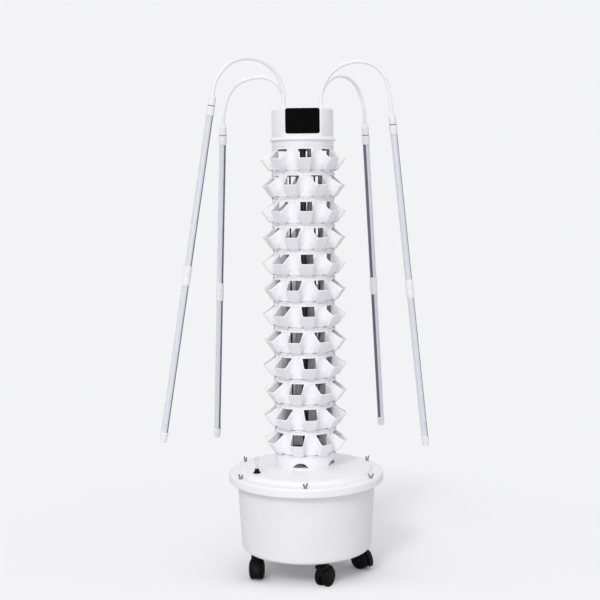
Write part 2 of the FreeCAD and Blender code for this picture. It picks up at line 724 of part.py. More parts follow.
def make_rings():
    master = make_ring_master()
    doc.recompute()
    for number in range(1, int(mm.ring_count) + 1):
        low = rings_high - mm.ring_pitch * number
        half_pocket = 180.0 / mm.pocket_count
        turn = mm.ring_first_turn + mm.ring_slip * (number - 1) + half_pocket * ((number - 1) % 2)
        ring = solid(f"ring_{number:02d}", master.Shape.copy())
        ring.Placement = Placement(Vector(0, 0, low), turned(180 + turn))
        sub_part(f"ring_{number:02d}", ring)


def make_cap():
    wall = tube("cap_wall", mm.column_r, column_in_r, mm.cap_rise, z=rings_high)
    plate = cylinder("cap_plate", column_in_r, mm.cap_plate, z=cap_top - mm.cap_plate)
    holes = [cylinder(f"cap_lead_hole_{number}", mm.lead_r + mm.play, mm.cap_plate * 3,
                      place_x, 0, cap_top - mm.cap_plate * 2)
             for number, place_x in enumerate((mm.pump_lead_x, mm.sensor_lead_x))]
    sub_part("column_cap", cut("cap", fuse("cap_solid", [wall, plate]), group("cap_holes", holes)))


def make_pump():
    strainer = tube("strainer_wall", mm.pump_r, mm.pump_r - mm.strainer_wall, mm.strainer_rise,
                    z=floor_top)
    plate = cylinder("strainer_plate", mm.pump_r - mm.strainer_wall, mm.strainer_wall,
                     z=pump_low - mm.strainer_wall)
    tools = [cylinder("inlet_eye", mm.inlet_eye_r, mm.strainer_wall * 3,
                      z=pump_low - mm.strainer_wall * 2)]
    for number in range(int(mm.strainer_slots / 2)):
        half = 180.0 / (mm.strainer_slots / 2) * number
        tools.append(box(f"strainer_slot_{number}", mm.pump_r * 3, mm.strainer_slot_width,
                         mm.strainer_rise - mm.strainer_wall * 3,
                         rotation=turned(half),
                         **centred(mm.pump_r * 3, mm.strainer_slot_width, half,
                                   floor_top + mm.strainer_wall)))
    sub_part("pump_strainer", cut("strainer", fuse("strainer_solid", [strainer, plate]),
                                  fuse("strainer_openings", tools)))
    outer = cylinder("pump_case", mm.pump_r, mm.pump_rise, z=pump_low)
    neck = cylinder("pump_neck", mm.riser_r + mm.play + mm.neck_wall, mm.neck_rise, z=pump_top)
    volute = cylinder("volute", mm.volute_r, mm.volute_rise, z=pump_low)
    bearing = cylinder("shaft_bearing", mm.shaft_r + mm.play, mm.shaft_long, z=pump_low)
    outlet = cylinder("pump_outlet", mm.riser_r + mm.play, mm.neck_rise, z=pump_top)
    sub_part("pump_body", cut("pump", fuse("pump_solid", [outer, neck]),
                              group("pump_hollows", [fuse("volute_bore", [volute, bearing]), outlet])))
    make_impeller()


def centred(length, width, angle, z):
    """Corner of a box that is centred on Z and turned by an angle."""
    offset = turned(angle).multVec(Vector(-length / 2, -width / 2, 0))
    return {"x": offset.x, "y": offset.y, "z": z}


def make_impeller():
    plate_z = pump_low + mm.volute_rise - mm.impeller_plate - mm.strainer_wall / 4
    blade_z = plate_z - mm.impeller_rise
    shaft_top = pump_low + mm.shaft_long - mm.strainer_wall / 4
    pieces = [cylinder("impeller_plate", mm.impeller_r, mm.impeller_plate, z=plate_z),
              cylinder("impeller_shaft", mm.shaft_r, shaft_top - blade_z, z=blade_z)]
    for number in range(int(mm.impeller_blades / 2)):
        angle = 360.0 / mm.impeller_blades * number
        pieces.append(box(f"impeller_blade_{number}", mm.impeller_r * 1.9, mm.impeller_plate,
                          mm.impeller_rise, rotation=turned(angle),
                          **centred(mm.impeller_r * 1.9, mm.impeller_plate, angle, blade_z)))
    sub_part("pump_impeller", fuse("impeller", pieces))


def make_riser():
    spray_top = spray_low + mm.spray_thick
    sub_part("riser_pipe", tube("riser", mm.riser_r, mm.riser_r - mm.riser_wall,
                                spray_top + mm.riser_end - pump_top, z=pump_top))
    disc = cylinder("spray_plate", column_in_r - mm.play, mm.spray_thick, z=spray_low)
    hole_low = spray_low - mm.spray_thick
    holes = [cylinder("spray_riser_hole", mm.riser_r + mm.play, mm.spray_thick * 3, z=hole_low)]
    for number, lead_x in enumerate((mm.pump_lead_x, mm.sensor_lead_x)):
        holes.append(cylinder(f"spray_lead_hole_{number}", mm.lead_r + mm.play,
                              mm.spray_thick * 3, lead_x, 0, hole_low))
    for number in range(int(mm.spray_hole_count)):
        spot = round_z(mm.spray_ring_r, 360.0 / mm.spray_hole_count * (number + 0.5))
        holes.append(cylinder(f"spray_hole_{number}", mm.spray_hole_r, mm.spray_thick * 3,
                              spot.x, spot.y, hole_low))
    sub_part("spray_disc", cut("spray", disc, group("spray_holes", holes)))


def make_leads():
    for label, lead_x in (("pump_lead", mm.pump_lead_x), ("sensor_lead", mm.sensor_lead_x)):
        sub_part(label, cylinder(f"{label}_solid", mm.lead_r, lead_top - pump_top,
                                 lead_x, 0, pump_top))
    clips = []
    reach = mm.clip_edge + mm.lead_r
    low_x = mm.pump_lead_x - reach
    for number in range(int(mm.clip_count)):
        low = rings_low + mm.sole_z + mm.ring_pitch * mm.clip_step * number
        bar = box(f"clip_bar_{number}", mm.sensor_lead_x - mm.pump_lead_x + reach * 2,
                  mm.clip_width, mm.clip_thick, low_x, mm.clip_width * -0.5, low)
        hub = cylinder(f"clip_hub_{number}", mm.riser_r + mm.clip_edge, mm.clip_thick, z=low)
        holes = [cylinder(f"clip_riser_hole_{number}", mm.riser_r + mm.play / 2,
                          mm.clip_thick * 3, z=low - mm.clip_thick)]
        for name, lead_x in (("pump", mm.pump_lead_x), ("sensor", mm.sensor_lead_x)):
            holes.append(cylinder(f"clip_{name}_hole_{number}", mm.lead_r + mm.play / 2,
                                  mm.clip_thick * 3, lead_x, 0, low - mm.clip_thick))
        clips.append(cut(f"clip_{number}", fuse(f"clip_solid_{number}", [bar, hub]),
                         group(f"clip_holes_{number}", holes)))
    sub_part("lead_clips", group("lead_clip_group", clips))


def make_controller_base():
    lip_z = rings_high + mm.skirt_lip_z
    inside_r = mm.column_r + mm.play
    body = revolved("skirt", [
        (inside_r, lip_z),
        (mm.skirt_lip_r, lip_z),
        (mm.skirt_lip_r, lip_z + mm.skirt_edge),
        (housing_r + mm.skirt_edge, housing_low),
        (0, housing_low),
        (0, cap_top),
        (inside_r, cap_top),
    ])
    holes = [cylinder(f"base_lead_hole_{number}", mm.lead_r + mm.play, mm.cap_rise,
                      lead_x, 0, cap_top - mm.cap_rise / 2)
             for number, lead_x in enumerate((mm.pump_lead_x, mm.sensor_lead_x))]
    sub_part("controller_base", cut("base", body, group("base_holes", holes)))


def housing_form(name, inset, height):
    """The housing's outside, drawn in by an inset: a round tower with a flat front."""
    radius = housing_r - inset
    low = cylinder(f"{name}_low", radius, height - mm.housing_bevel, z=housing_low)
    bevel = cone(f"{name}_bevel", radius, radius - mm.housing_bevel, mm.housing_bevel,
                 z=housing_low + height - mm.housing_bevel)
    front = box(f"{name}_front", housing_r * 2, housing_r * 2, mm.housing_rise,
                housing_r * -1, inset - mm.housing_flat, housing_low)
    feature = doc.addObject("Part::MultiCommon", name)
    feature.Shapes = [fuse(f"{name}_round", [low, bevel]), front]
    return feature


def rounded_plate(name, width, height, thick, corner, y, low_z):
    """An upright plate with round corners that faces -Y."""
    plain = box(f"{name}_plain", width, thick, height, width * -0.5, y, low_z)
    doc.recompute()
    feature = doc.addObject("Part::Fillet", name)
    feature.Base = plain
    feature.Edges = [(number, float(corner), float(corner))
                     for number, edge in enumerate(plain.Shape.Edges, start=1)
                     if abs(edge.tangentAt(edge.FirstParameter).y) > 0.9]
    return feature


def make_controller():
    shell = cut("housing_shell", housing_form("housing_outside", mm.play * 0, mm.housing_rise),
                housing_form("housing_inside", mm.housing_wall,
                             mm.housing_rise - mm.housing_wall))
    screen_low = housing_low + mm.screen_foot
    front_y = mm.housing_flat * -1 - mm.screen_proud
    tools = [rounded_plate("screen_opening", mm.screen_width + mm.play * 2,
                           mm.screen_height + mm.play * 2, mm.housing_wall * 5,
                           mm.screen_round, mm.housing_flat * -1 - mm.housing_wall * 2,
                           screen_low - mm.play)]
    slot_low = housing_top - mm.slot_drop - mm.slot_rise
    for name, side in (("left", -1), ("right", 1)):
        turn = Rotation(Vector(0, 0, 1), float(side * mm.slot_turn) - 90)
        middle = turn.multVec(Vector(housing_r - mm.housing_wall * 3,
                                     mm.slot_width * -0.5, 0))
        tools.append(box(f"slot_{name}", mm.housing_wall * 6, mm.slot_width, mm.slot_rise,
                         middle.x, middle.y, slot_low, turn))
    backwards = Rotation(Vector(1, 0, 0), -90)
    inlet_z = housing_low + mm.inlet_rise
    tools.append(cylinder("inlet_hole", mm.inlet_r + mm.play, mm.housing_wall * 6,
                          0, housing_r - mm.housing_wall * 4, inlet_z, backwards))
    for number, (x, y) in enumerate(socket_spots()):
        tools.append(cylinder(f"socket_hole_{number}", mm.socket_neck_r + mm.play,
                              mm.housing_wall * 4, x, y, housing_top - mm.housing_wall * 2))
    sub_part("controller_housing", cut("housing", shell, group("housing_openings", tools)))

    glass = rounded_plate("screen_glass", mm.screen_width, mm.screen_height, mm.screen_thick,
                          mm.screen_round, front_y, screen_low)
    glass_back = front_y + mm.screen_thick
    post_x = mm.screen_width / 2 - mm.board_margin * 2
    posts = []
    for name, side, post_z in (
            ("low_left", -1, screen_low + mm.board_margin * 2),
            ("low_right", 1, screen_low + mm.board_margin * 2),
            ("high_left", -1, screen_low + mm.screen_height - mm.board_margin * 2),
            ("high_right", 1, screen_low + mm.screen_height - mm.board_margin * 2)):
        posts.append(cylinder(f"post_{name}", mm.post_r, mm.post_long, post_x * side,
                              glass_back, post_z, backwards))
    sub_part("display_panel", fuse("display", [glass] + posts))
    sub_part("controller_board", box(
        "board", mm.screen_width - mm.board_margin * 2, mm.board_thick,
        mm.screen_height - mm.board_margin * 2, mm.board_margin - mm.screen_width / 2,
        glass_back + mm.post_long, screen_low + mm.board_margin))

    inlet_long = mm.inlet_proud + mm.housing_wall * 2
    inlet = cylinder("inlet_body", mm.inlet_r, inlet_long,
                     0, housing_r - mm.housing_wall * 2, inlet_z, backwards)
    socket = cylinder("inlet_bore", mm.inlet_bore_r, inlet_long - mm.housing_wall,
                      0, housing_r - mm.housing_wall, inlet_z, backwards)
    sub_part("power_inlet", cut("inlet", inlet, socket))

    sockets = []
    for number, (x, y) in enumerate(socket_spots()):
        head = cylinder(f"socket_head_{number}", mm.socket_r, mm.socket_rise, x, y, housing_top)
        neck = cylinder(f"socket_neck_{number}", mm.socket_neck_r, mm.socket_depth,
                        x, y, housing_top - mm.socket_depth)
        bore = cylinder(f"socket_bore_{number}", mm.arm_r + mm.play,
                        mm.socket_depth + mm.socket_rise, x, y,
                        housing_top - mm.socket_depth + mm.socket_floor)
        sockets.append(cut(f"socket_{number}", fuse(f"socket_solid_{number}", [head, neck]), bore))
    sub_part("arm_sockets", group("arm_socket_group", sockets))


def socket_spots():
    """The four sockets on the housing: front left, back left, back right, front right."""
    left, front = mm.socket_x * -1, mm.socket_y * -1
    return ((left, front), (left, mm.socket_y), (mm.socket_x, mm.socket_y), (mm.socket_x, front))


# Bends of the four arms between socket and lamp: the share of the way out, and the height
# above the socket's mouth.
ARM_BENDS = (
    ((0.0, 62), (0.10, 122), (0.30, 162), (0.55, 170), (0.77, 148), (0.91, 105)),
    ((0.0, 46), (0.10, 89), (0.28, 116), (0.52, 115), (0.76, 95), (0.92, 46)),
    ((0.0, 46), (0.12, 91), (0.32, 123), (0.58, 124), (0.80, 96), (0.93, 46)),
    ((0.0, 46), (0.09, 101), (0.27, 146), (0.52, 161), (0.75, 148), (0.92, 101)),
)


def rounded_route(points):
    """Straight runs joined by tangent arcs through the bends of a route."""
    edges = []
    last = points[0]
    for before, bend, after in zip(points, points[1:], points[2:]):
        inward = before - bend
        outward = after - bend
        turn = math.pi - inward.getAngle(outward)
        reach = 0.45 * min(inward.Length, outward.Length)
        radius = reach / math.tan(turn / 2)
        start = bend + inward.normalize() * reach
        end = bend + outward.normalize() * reach
        middle_way = (inward + outward).normalize()
        middle = bend + middle_way * (radius / math.cos(turn / 2) - radius)
        edges.append(Part.LineSegment(last, start).toShape())
        edges.append(Part.Arc(start, middle, end).toShape())
        last = end
    edges.append(Part.LineSegment(last, points[-1]).toShape())
    return Part.Wire(edges)


def round_bar(wire, radius):
    """A round bar along a wire whose first run rises."""
    start = wire.Edges[0].Vertexes[0].Point
    rim = Part.Wire(Part.Circle(start, Vector(0, 0, 1), float(radius)).toShape())
    bar = wire.makePipeShell([rim], True, False)
    expected = math.pi * radius ** 2 * wire.Length
    if abs(bar.Volume / expected - 1) > 0.01:
        raise RuntimeError(f"arm volume {bar.Volume} against {expected}")
    return bar


def make_lamps():
    for number, (spot_x, spot_y) in enumerate(socket_spots(), start=1):
        mouth = Vector(spot_x, spot_y, socket_mouth)
        seam = mouth + Vector(getattr(mm, f"lamp_{number}_x"), getattr(mm, f"lamp_{number}_y"),
                              getattr(mm, f"lamp_{number}_z"))
        lean_x = getattr(mm, f"lamp_{number}_lean_x")
        lean_y = getattr(mm, f"lamp_{number}_lean_y")
        down = Vector(lean_x, lean_y, -math.sqrt(1 - lean_x ** 2 - lean_y ** 2))
        upright = Rotation(Vector(0, 0, 1), down * -1)
        make_arm(number, mouth, seam, down, upright)
        make_lamp(number, seam, down, upright)


def make_arm(number, mouth, seam, down, upright):
    foot = mouth - Vector(0, 0, mm.socket_rise + mm.socket_depth - mm.socket_floor - mm.face_gap)
    sleeve_top = seam - down * mm.sleeve_long
    way = sleeve_top - mouth
    route = [foot]
    for share, rise in ARM_BENDS[number - 1]:
        route.append(mouth + Vector(way.x * share, way.y * share, rise))
    route.append(sleeve_top - down * mm.sleeve_lead)
    route.append(sleeve_top + down * mm.sleeve_grip)
    arm = solid(f"arm_bar_{number}", round_bar(rounded_route(route), mm.arm_r))
    sleeve = Part.makeCone(mm.sleeve_low_r, mm.sleeve_high_r, mm.sleeve_long)
    grip = Part.makeCylinder(mm.arm_r, mm.sleeve_grip,
                             Vector(0, 0, mm.sleeve_long - mm.sleeve_grip))
    bearing = Part.makeCylinder(mm.lamp_pin_r + mm.play, mm.lamp_pin_long + mm.face_gap)
    sleeve = sleeve.cut([grip, bearing])
    held = solid(f"arm_sleeve_{number}", sleeve, Placement(seam, upright))
    sub_part(f"light_arm_{number}", group(f"light_arm_group_{number}", [arm, held]))


def make_lamp(number, seam, down, upright):
    """Holder, joiner and end cap, and the two light tubes between them."""
    holder = mm.holder_long
    head = Part.makeCylinder(mm.holder_r, holder - mm.face_gap, Vector(0, 0, -holder))
    pin = Part.makeCylinder(mm.lamp_pin_r, mm.lamp_pin_long + mm.face_gap * 2,
                            Vector(0, 0, -mm.face_gap * 2))
    head = head.fuse(pin).removeSplitter()
    grip_r = mm.tube_r
    upper_low = -holder - mm.tube_long
    joiner = Part.makeCylinder(mm.holder_r, holder * 2, Vector(0, 0, upper_low - holder * 2))
    lower_low = upper_low - holder * 2 - mm.tube_long
    end_cap = Part.makeCone(mm.end_cap_r, mm.holder_r, mm.end_cap_long,
                            Vector(0, 0, lower_low - mm.end_cap_long))
    upper = Part.makeCylinder(grip_r, mm.tube_long + mm.tube_grip * 2,
                              Vector(0, 0, upper_low - mm.tube_grip))
    lower = Part.makeCylinder(grip_r, mm.tube_long + mm.tube_grip * 2,
                              Vector(0, 0, lower_low - mm.tube_grip))
    spot = Placement(seam, upright)
    fittings = [solid(f"{name}_{number}", shape.cut([upper, lower]), spot)
                for name, shape in (("lamp_head", head), ("lamp_joiner", joiner),
                                    ("lamp_end", end_cap))]
    sub_part(f"lamp_fittings_{number}", group(f"lamp_fitting_group_{number}", fittings))
    tubes = [solid(f"upper_tube_{number}", upper, spot), solid(f"lower_tube_{number}", lower, spot)]
    sub_part(f"lamp_tubes_{number}", group(f"lamp_tube_group_{number}", tubes))


# Way that each caster trails, from the front towards +X, starting with the front caster.
CASTER_TRAILS = (58.0, -40.0, 160.0, -90.0)

# Rotations for a caster's pieces: its axle runs along Y, and angles about the axle grow from
# the rear, +X, upwards.
SIDEWAYS = Rotation(Vector(1, 0, 0), 90)


def axle_cylinder(name, radius, width, x, z, start=0.0, sweep=360.0):
    """A cylinder or sector along Y, centred on Y = 0."""
    feature = cylinder(name, radius, width, x, width / 2, z,
                       SIDEWAYS.multiply(Rotation(Vector(0, 0, 1), float(start))))
    bind(feature, "Angle", sweep)
    return feature


def caster_width():
    return mm.web_thick + (mm.wheel_width + mm.wheel_gap) * 2


def make_caster_hood():
    axle_x, axle_z = mm.caster_trail, mm.wheel_r
    width = caster_width()
    clear_r = mm.wheel_r + mm.hood_gap
    outer_r = clear_r + mm.hood_wall
    sweep = mm.hood_end - mm.hood_start
    clear = axle_cylinder("hood_clear", clear_r, width * 2, axle_x, axle_z)
    shell = axle_cylinder("hood_sector", outer_r, width, axle_x, axle_z, mm.hood_start, sweep)
    boss_top = bearing_low - mm.face_gap
    boss = cylinder("hood_boss", mm.swivel_boss_r, mm.swivel_boss_drop,
                    z=boss_top - mm.swivel_boss_drop)
    pin = cylinder("hood_pin", mm.swivel_pin_r, mm.swivel_pin_long + mm.swivel_pin_r,
                   z=boss_top - mm.swivel_pin_r)
    lugs = cut("hood_lugs",
               axle_cylinder("lug_sector", outer_r, width, axle_x, axle_z, mm.pedal_angle,
                             mm.hood_end - mm.pedal_angle),
               axle_cylinder("lug_gap", outer_r * 2, width - mm.pedal_lug * 2, axle_x, axle_z))
    pivot_x, pivot_z = pedal_pivot()
    ears = cut("hood_ears",
               axle_cylinder("ear_round", mm.pedal_barrel_r, width, pivot_x, pivot_z),
               axle_cylinder("ear_gap", outer_r, width - mm.pedal_lug * 2, pivot_x, pivot_z))
    hinge_pin = axle_cylinder("pedal_pin", mm.pedal_pin_r, width, pivot_x, pivot_z)
    cover = cut("hood_cover", fuse("hood_outside", [shell, boss, pin, lugs, ears, hinge_pin]), clear)
    web = fuse("hood_web", [
        axle_cylinder("web_round", mm.web_r, mm.web_thick, axle_x, axle_z),
        axle_cylinder("web_sector", outer_r - mm.hood_wall / 2, mm.web_thick, axle_x, axle_z,
                      mm.hood_start, sweep)])
    bore = axle_cylinder("web_bore", mm.axle_r + mm.play, width, axle_x, axle_z)
    return cut("caster_hood", fuse("hood_whole", [cover, web]), bore)


def pedal_pivot():
    """Axis of the pedal's hinge, as x and z."""
    radius = mm.wheel_r + mm.hood_gap + mm.pedal_barrel_r
    angle = math.radians(mm.pedal_angle)
    return mm.caster_trail + radius * math.cos(angle), mm.wheel_r + radius * math.sin(angle)


def make_caster_wheels():
    """One wheel turned from its outline, used twice, and the axle through both."""
    wheel = revolved("wheel", [
        (mm.axle_r, 0),
        (mm.wheel_r - mm.wheel_bevel, 0),
        (mm.wheel_r, mm.wheel_bevel),
        (mm.wheel_r, mm.wheel_width - mm.wheel_bevel),
        (mm.wheel_r - mm.wheel_bevel, mm.wheel_width),
        (mm.dish_r, mm.wheel_width),
        (mm.dish_r - mm.wheel_bevel, mm.wheel_width - mm.dish_deep),
        (mm.hub_r + mm.wheel_bevel, mm.wheel_width - mm.dish_deep),
        (mm.hub_r, mm.wheel_width),
        (mm.axle_r, mm.wheel_width),
    ])
    doc.recompute()
    start = mm.web_thick / 2 + mm.wheel_gap
    pieces = []
    for name, side in (("left", 1), ("right", -1)):
        facing = Rotation(Vector(0, 0, 1), Vector(0, side, 0))
        spot = Placement(Vector(mm.caster_trail, side * start, mm.wheel_r), facing)
        shape = wheel.Shape.copy()
        shape.Placement = spot
        pieces.append(solid(f"wheel_{name}", shape, spot))
    axle = axle_cylinder("axle", mm.axle_r, caster_width(), mm.caster_trail, mm.wheel_r)
    return group("caster_wheels", pieces + [axle])


def make_caster_pedal():
    pivot_x, pivot_z = pedal_pivot()
    width = caster_width() - mm.pedal_lug * 2 - mm.wheel_gap * 2
    barrel = axle_cylinder("pedal_barrel", mm.pedal_barrel_r, width, pivot_x, pivot_z)
    lean = Rotation(Vector(0, 1, 0), 90 - float(mm.pedal_angle))
    corner = lean.multVec(Vector(0, -width / 2, mm.pedal_thick * -0.5))
    lever = box("pedal_lever", mm.pedal_long, width, mm.pedal_thick,
                pivot_x + corner.x, corner.y, pivot_z + corner.z, lean)
    bore = axle_cylinder("pedal_bore", mm.pedal_pin_r + mm.play, width * 2, pivot_x, pivot_z)
    return cut("caster_pedal", fuse("pedal_solid", [barrel, lever]), bore)


def make_casters():
    masters = (("caster_hood", make_caster_hood()), ("caster_wheels", make_caster_wheels()),
               ("caster_pedal", make_caster_pedal()))
    doc.recompute()
    plates = []
    for number in range(int(mm.caster_count)):
        spot = round_z(mm.caster_circle_r, mm.caster_turn + 360.0 / mm.caster_count * number)
        placement = Placement(spot, turned(CASTER_TRAILS[number]))
        for name, master in masters:
            copy = solid(f"{name}_{number + 1}_copy", master.Shape.copy())
            copy.Placement = placement
            sub_part(f"{name}_{number + 1}", copy)
        plate = cylinder(f"plate_{number}", mm.plate_r, mm.plate_thick, spot.x, spot.y,
                         mm.tank_floor_z - mm.plate_thick)
        bearing = cylinder(f"bearing_{number}", mm.swivel_boss_r, mm.plate_boss, spot.x, spot.y,
                           bearing_low)
        bore = cylinder(f"swivel_bore_{number}", mm.swivel_pin_r + mm.play,
                        mm.swivel_pin_long + mm.face_gap, spot.x, spot.y, bearing_low)
        plates.append(cut(f"caster_plate_{number}",
                          fuse(f"plate_solid_{number}", [plate, bearing]), bore))
    sub_part("caster_plates", group("caster_plate_group", plates))


for step in (make_tank, make_seal, make_lid, make_wing_bolts, make_gauge, make_foot, make_rings,
             make_cap, make_pump, make_riser, make_leads, make_controller_base, make_controller,
             make_lamps, make_casters):
    step()
doc.recompute()

problems = [item.Name for item in doc.Objects if {"Invalid", "Error"} & set(item.State)]
for feature in SUB_PARTS:
    if feature.Shape.isNull() or not feature.Shape.isValid():
        problems.append(feature.Label)
if problems:
    raise RuntimeError("failed features: " + ", ".join(problems))
for feature in SUB_PARTS:
    feature.Shape.exportStep(f"parts/{feature.Label}.step")
    print(feature.Label, len(feature.Shape.Solids), round(feature.Shape.Volume))
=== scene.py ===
import json
from math import asin, atan2, cos, degrees, hypot, pi, radians, sin, sqrt, tan

import bmesh
import bpy
from bpy.props import FloatProperty, IntProperty, PointerProperty, StringProperty
from mathutils import Matrix, Vector


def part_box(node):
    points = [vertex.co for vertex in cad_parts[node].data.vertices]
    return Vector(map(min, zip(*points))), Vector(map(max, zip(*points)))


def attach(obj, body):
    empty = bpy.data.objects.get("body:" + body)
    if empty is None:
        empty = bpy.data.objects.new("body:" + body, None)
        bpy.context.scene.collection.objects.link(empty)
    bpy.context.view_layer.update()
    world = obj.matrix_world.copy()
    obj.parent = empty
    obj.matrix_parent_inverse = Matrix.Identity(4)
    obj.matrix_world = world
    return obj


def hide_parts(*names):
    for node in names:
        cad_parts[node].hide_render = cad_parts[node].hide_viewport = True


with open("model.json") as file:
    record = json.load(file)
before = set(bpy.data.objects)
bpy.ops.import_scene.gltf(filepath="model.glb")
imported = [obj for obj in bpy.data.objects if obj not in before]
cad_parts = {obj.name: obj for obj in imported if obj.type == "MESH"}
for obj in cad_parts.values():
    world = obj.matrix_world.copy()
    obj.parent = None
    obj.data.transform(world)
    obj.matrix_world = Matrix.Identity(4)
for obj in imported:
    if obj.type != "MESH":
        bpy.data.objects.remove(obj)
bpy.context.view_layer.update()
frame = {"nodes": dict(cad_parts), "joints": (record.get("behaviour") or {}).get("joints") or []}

bl_info = {
    "name": "Planter Tower Maker",
    "version": (1, 0, 0),
    "blender": (4, 5, 0),
    "location": "View3D > Sidebar > Planter Tower",
    "description": "Makes the visible pieces of a vertical planter tower round its packed model",
    "category": "Object",
}

MM = 0.001
TOWER = "tower"
RING_NAMES = [f"ring_{number:02d}" for number in range(1, 13)]


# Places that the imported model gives.

def node_low(name):
    return Vector(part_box(name)[0])


def node_high(name):
    return Vector(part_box(name)[1])


def node_middle(name):
    return (node_low(name) + node_high(name)) / 2


def heights(name):
    """A node's lower and upper height in millimetres."""
    return node_low(name).z / MM, node_high(name).z / MM


def joint(name):
    return next(item for item in frame["joints"] if item["name"] == name)


def joint_spot(name):
    return Vector(joint(name)["pos_m"])


def joint_axis(name):
    return Vector(joint(name)["axis"]).normalized()


# Colours and materials.

def srgb(text):
    """The linear colour of an sRGB hex value."""
    channels = [int(text[start:start + 2], 16) / 255 for start in (0, 2, 4)]
    return tuple(value / 12.92 if value <= 0.04045 else ((value + 0.055) / 1.055) ** 2.4
                 for value in channels) + (1.0,)


def add_node(tree, kind, inputs=None, **options):
    """A node with its options and inputs; an input takes a value, a socket or a node."""
    node = tree.nodes.new(kind)
    for name, value in options.items():
        setattr(node, name, value)
    for name, value in (inputs or {}).items():
        if isinstance(value, bpy.types.Node):
            value = value.outputs[0]
        if isinstance(value, bpy.types.NodeSocket):
            tree.links.new(value, node.inputs[name])
        else:
            node.inputs[name].default_value = value
    return node


def new_material(name):
    material = bpy.data.materials.new(name)
    material.use_nodes = True
    tree = material.node_tree
    tree.nodes.clear()
    return material, tree, add_node(tree, "ShaderNodeOutputMaterial").inputs["Surface"]


def new_surface(name, values):
    """A material of one principled shader, with its tree, the shader and object coordinates."""
    material, tree, surface = new_material(name)
    bsdf = add_node(tree, "ShaderNodeBsdfPrincipled", values)
    tree.links.new(bsdf.outputs["BSDF"], surface)
    return material, tree, bsdf, add_node(tree, "ShaderNodeTexCoord").outputs["Object"]


def finish_surface(name, colour, tint, tint_share, roughness, rough_spread, grain_mm, depth_mm,
                   shader):
    """A coloured surface with a fine grain, a slow change of tint and of gloss."""
    material, tree, bsdf, place = new_surface(
        name, {"Base Color": srgb(colour), "Roughness": roughness, **shader})
    slow = add_node(tree, "ShaderNodeTexNoise", {"Vector": place, "Scale": 9.0, "Detail": 3.0})
    share = add_node(tree, "ShaderNodeMapRange", {
        "Value": slow, "From Min": 0.35, "From Max": 0.75, "To Max": tint_share})
    mix = add_node(tree, "ShaderNodeMix", {0: share, 6: srgb(colour), 7: srgb(tint)},
                   data_type="RGBA")
    patch = add_node(tree, "ShaderNodeTexNoise", {"Vector": place, "Scale": 35.0, "Detail": 4.0})
    gloss = add_node(tree, "ShaderNodeMapRange", {
        "Value": patch, "To Min": roughness - rough_spread, "To Max": roughness + rough_spread})
    grain = add_node(tree, "ShaderNodeTexNoise", {
        "Vector": place, "Scale": 1.0 / (grain_mm * MM), "Detail": 2.0})
    bump = add_node(tree, "ShaderNodeBump", {
        "Height": grain, "Distance": depth_mm * MM, "Strength": 0.5})
    for socket, name in ((mix.outputs[2], "Base Color"), (gloss.outputs[0], "Roughness"),
                         (bump.outputs[0], "Normal")):
        tree.links.new(socket, bsdf.inputs[name])
    return material


# Mesh work. Makers take millimetres; finished meshes are in metres.

def link_object(name, mesh):
    piece = bpy.data.objects.new(name, mesh)
    bpy.context.scene.collection.objects.link(piece)
    return piece


def from_shape(name, verts, faces):
    """An object from millimetre points, with its doubles merged and its faces outwards."""
    shape = bmesh.new()
    made = [shape.verts.new(Vector(point) * MM) for point in verts]
    for corners in faces:
        if len(set(corners)) > 2:
            shape.faces.new([made[number] for number in corners])
    gap = 0.002 * MM
    bmesh.ops.remove_doubles(shape, verts=shape.verts, dist=gap)
    bmesh.ops.dissolve_degenerate(shape, edges=shape.edges, dist=gap)
    bmesh.ops.recalc_face_normals(shape, faces=shape.faces)
    return link_shape(name, shape)


def loft(name, loops, closed=False):
    """A solid through loops of points, capped at both ends or closed on itself."""
    count, size = len(loops), len(loops[0])
    faces = []
    for level in range(count if closed else count - 1):
        here, above = level * size, (level + 1) % count * size
        for spot in range(size):
            after = (spot + 1) % size
            faces.append((here + spot, here + after, above + after, above + spot))
    if not closed:
        faces += [range(size)[::-1], range((count - 1) * size, count * size)]
    return from_shape(name, [point for loop in loops for point in loop], faces)


def arc(radius, first, last, steps, x=0.0, y=0.0):
    """Points of an arc round (x, y), from one angle to another in radians."""
    turns = [first + (last - first) * step / steps for step in range(steps + 1)]
    return [(x + radius * cos(turn), y + radius * sin(turn)) for turn in turns]


def lathe(name, profile, steps):
    """A solid turned about Z from a closed outline of (radius, height) points."""
    return loft(name, [raised(arc(radius, 0.0, 2 * pi, steps)[:-1], height)
                       for radius, height in profile], closed=True)


def link_shape(name, shape):
    """An object from a bmesh, which is freed."""
    mesh = bpy.data.meshes.new(name)
    shape.to_mesh(mesh)
    shape.free()
    return link_object(name, mesh)


def rounded(corners, steps=4):
    """An outline of (x, y) corners; one that also gives a radius becomes an arc."""
    made = []
    for index, (x, y, *radius) in enumerate(corners):
        if not any(radius):
            made.append((x, y))
            continue
        here = Vector((x, y))
        before = Vector(corners[index - 1][:2]) - here
        after = Vector(corners[(index + 1) % len(corners)][:2]) - here
        half = before.angle(after) / 2
        reach = min(radius[0] / tan(half), before.length * 0.49, after.length * 0.49)
        start, end = here + before.normalized() * reach, here + after.normalized() * reach
        radius = reach * tan(half)
        middle = here + (before.normalized() + after.normalized()).normalized() * (
            radius / sin(half))
        for step in range(steps + 1):
            way = (start - middle).slerp(end - middle, step / steps)
            made.append(tuple(middle + way.normalized() * radius))
    return made


def moved(piece, matrix):
    """Move a piece's mesh by a matrix whose lengths are in metres."""
    piece.data.transform(matrix)
    return piece


def shift(x=0.0, y=0.0, z=0.0):
    return Matrix.Translation(Vector((x, y, z)) * MM)


def turn_z(angle):
    """A turn about Z by an angle in degrees."""
    return Matrix.Rotation(radians(angle), 4, "Z")


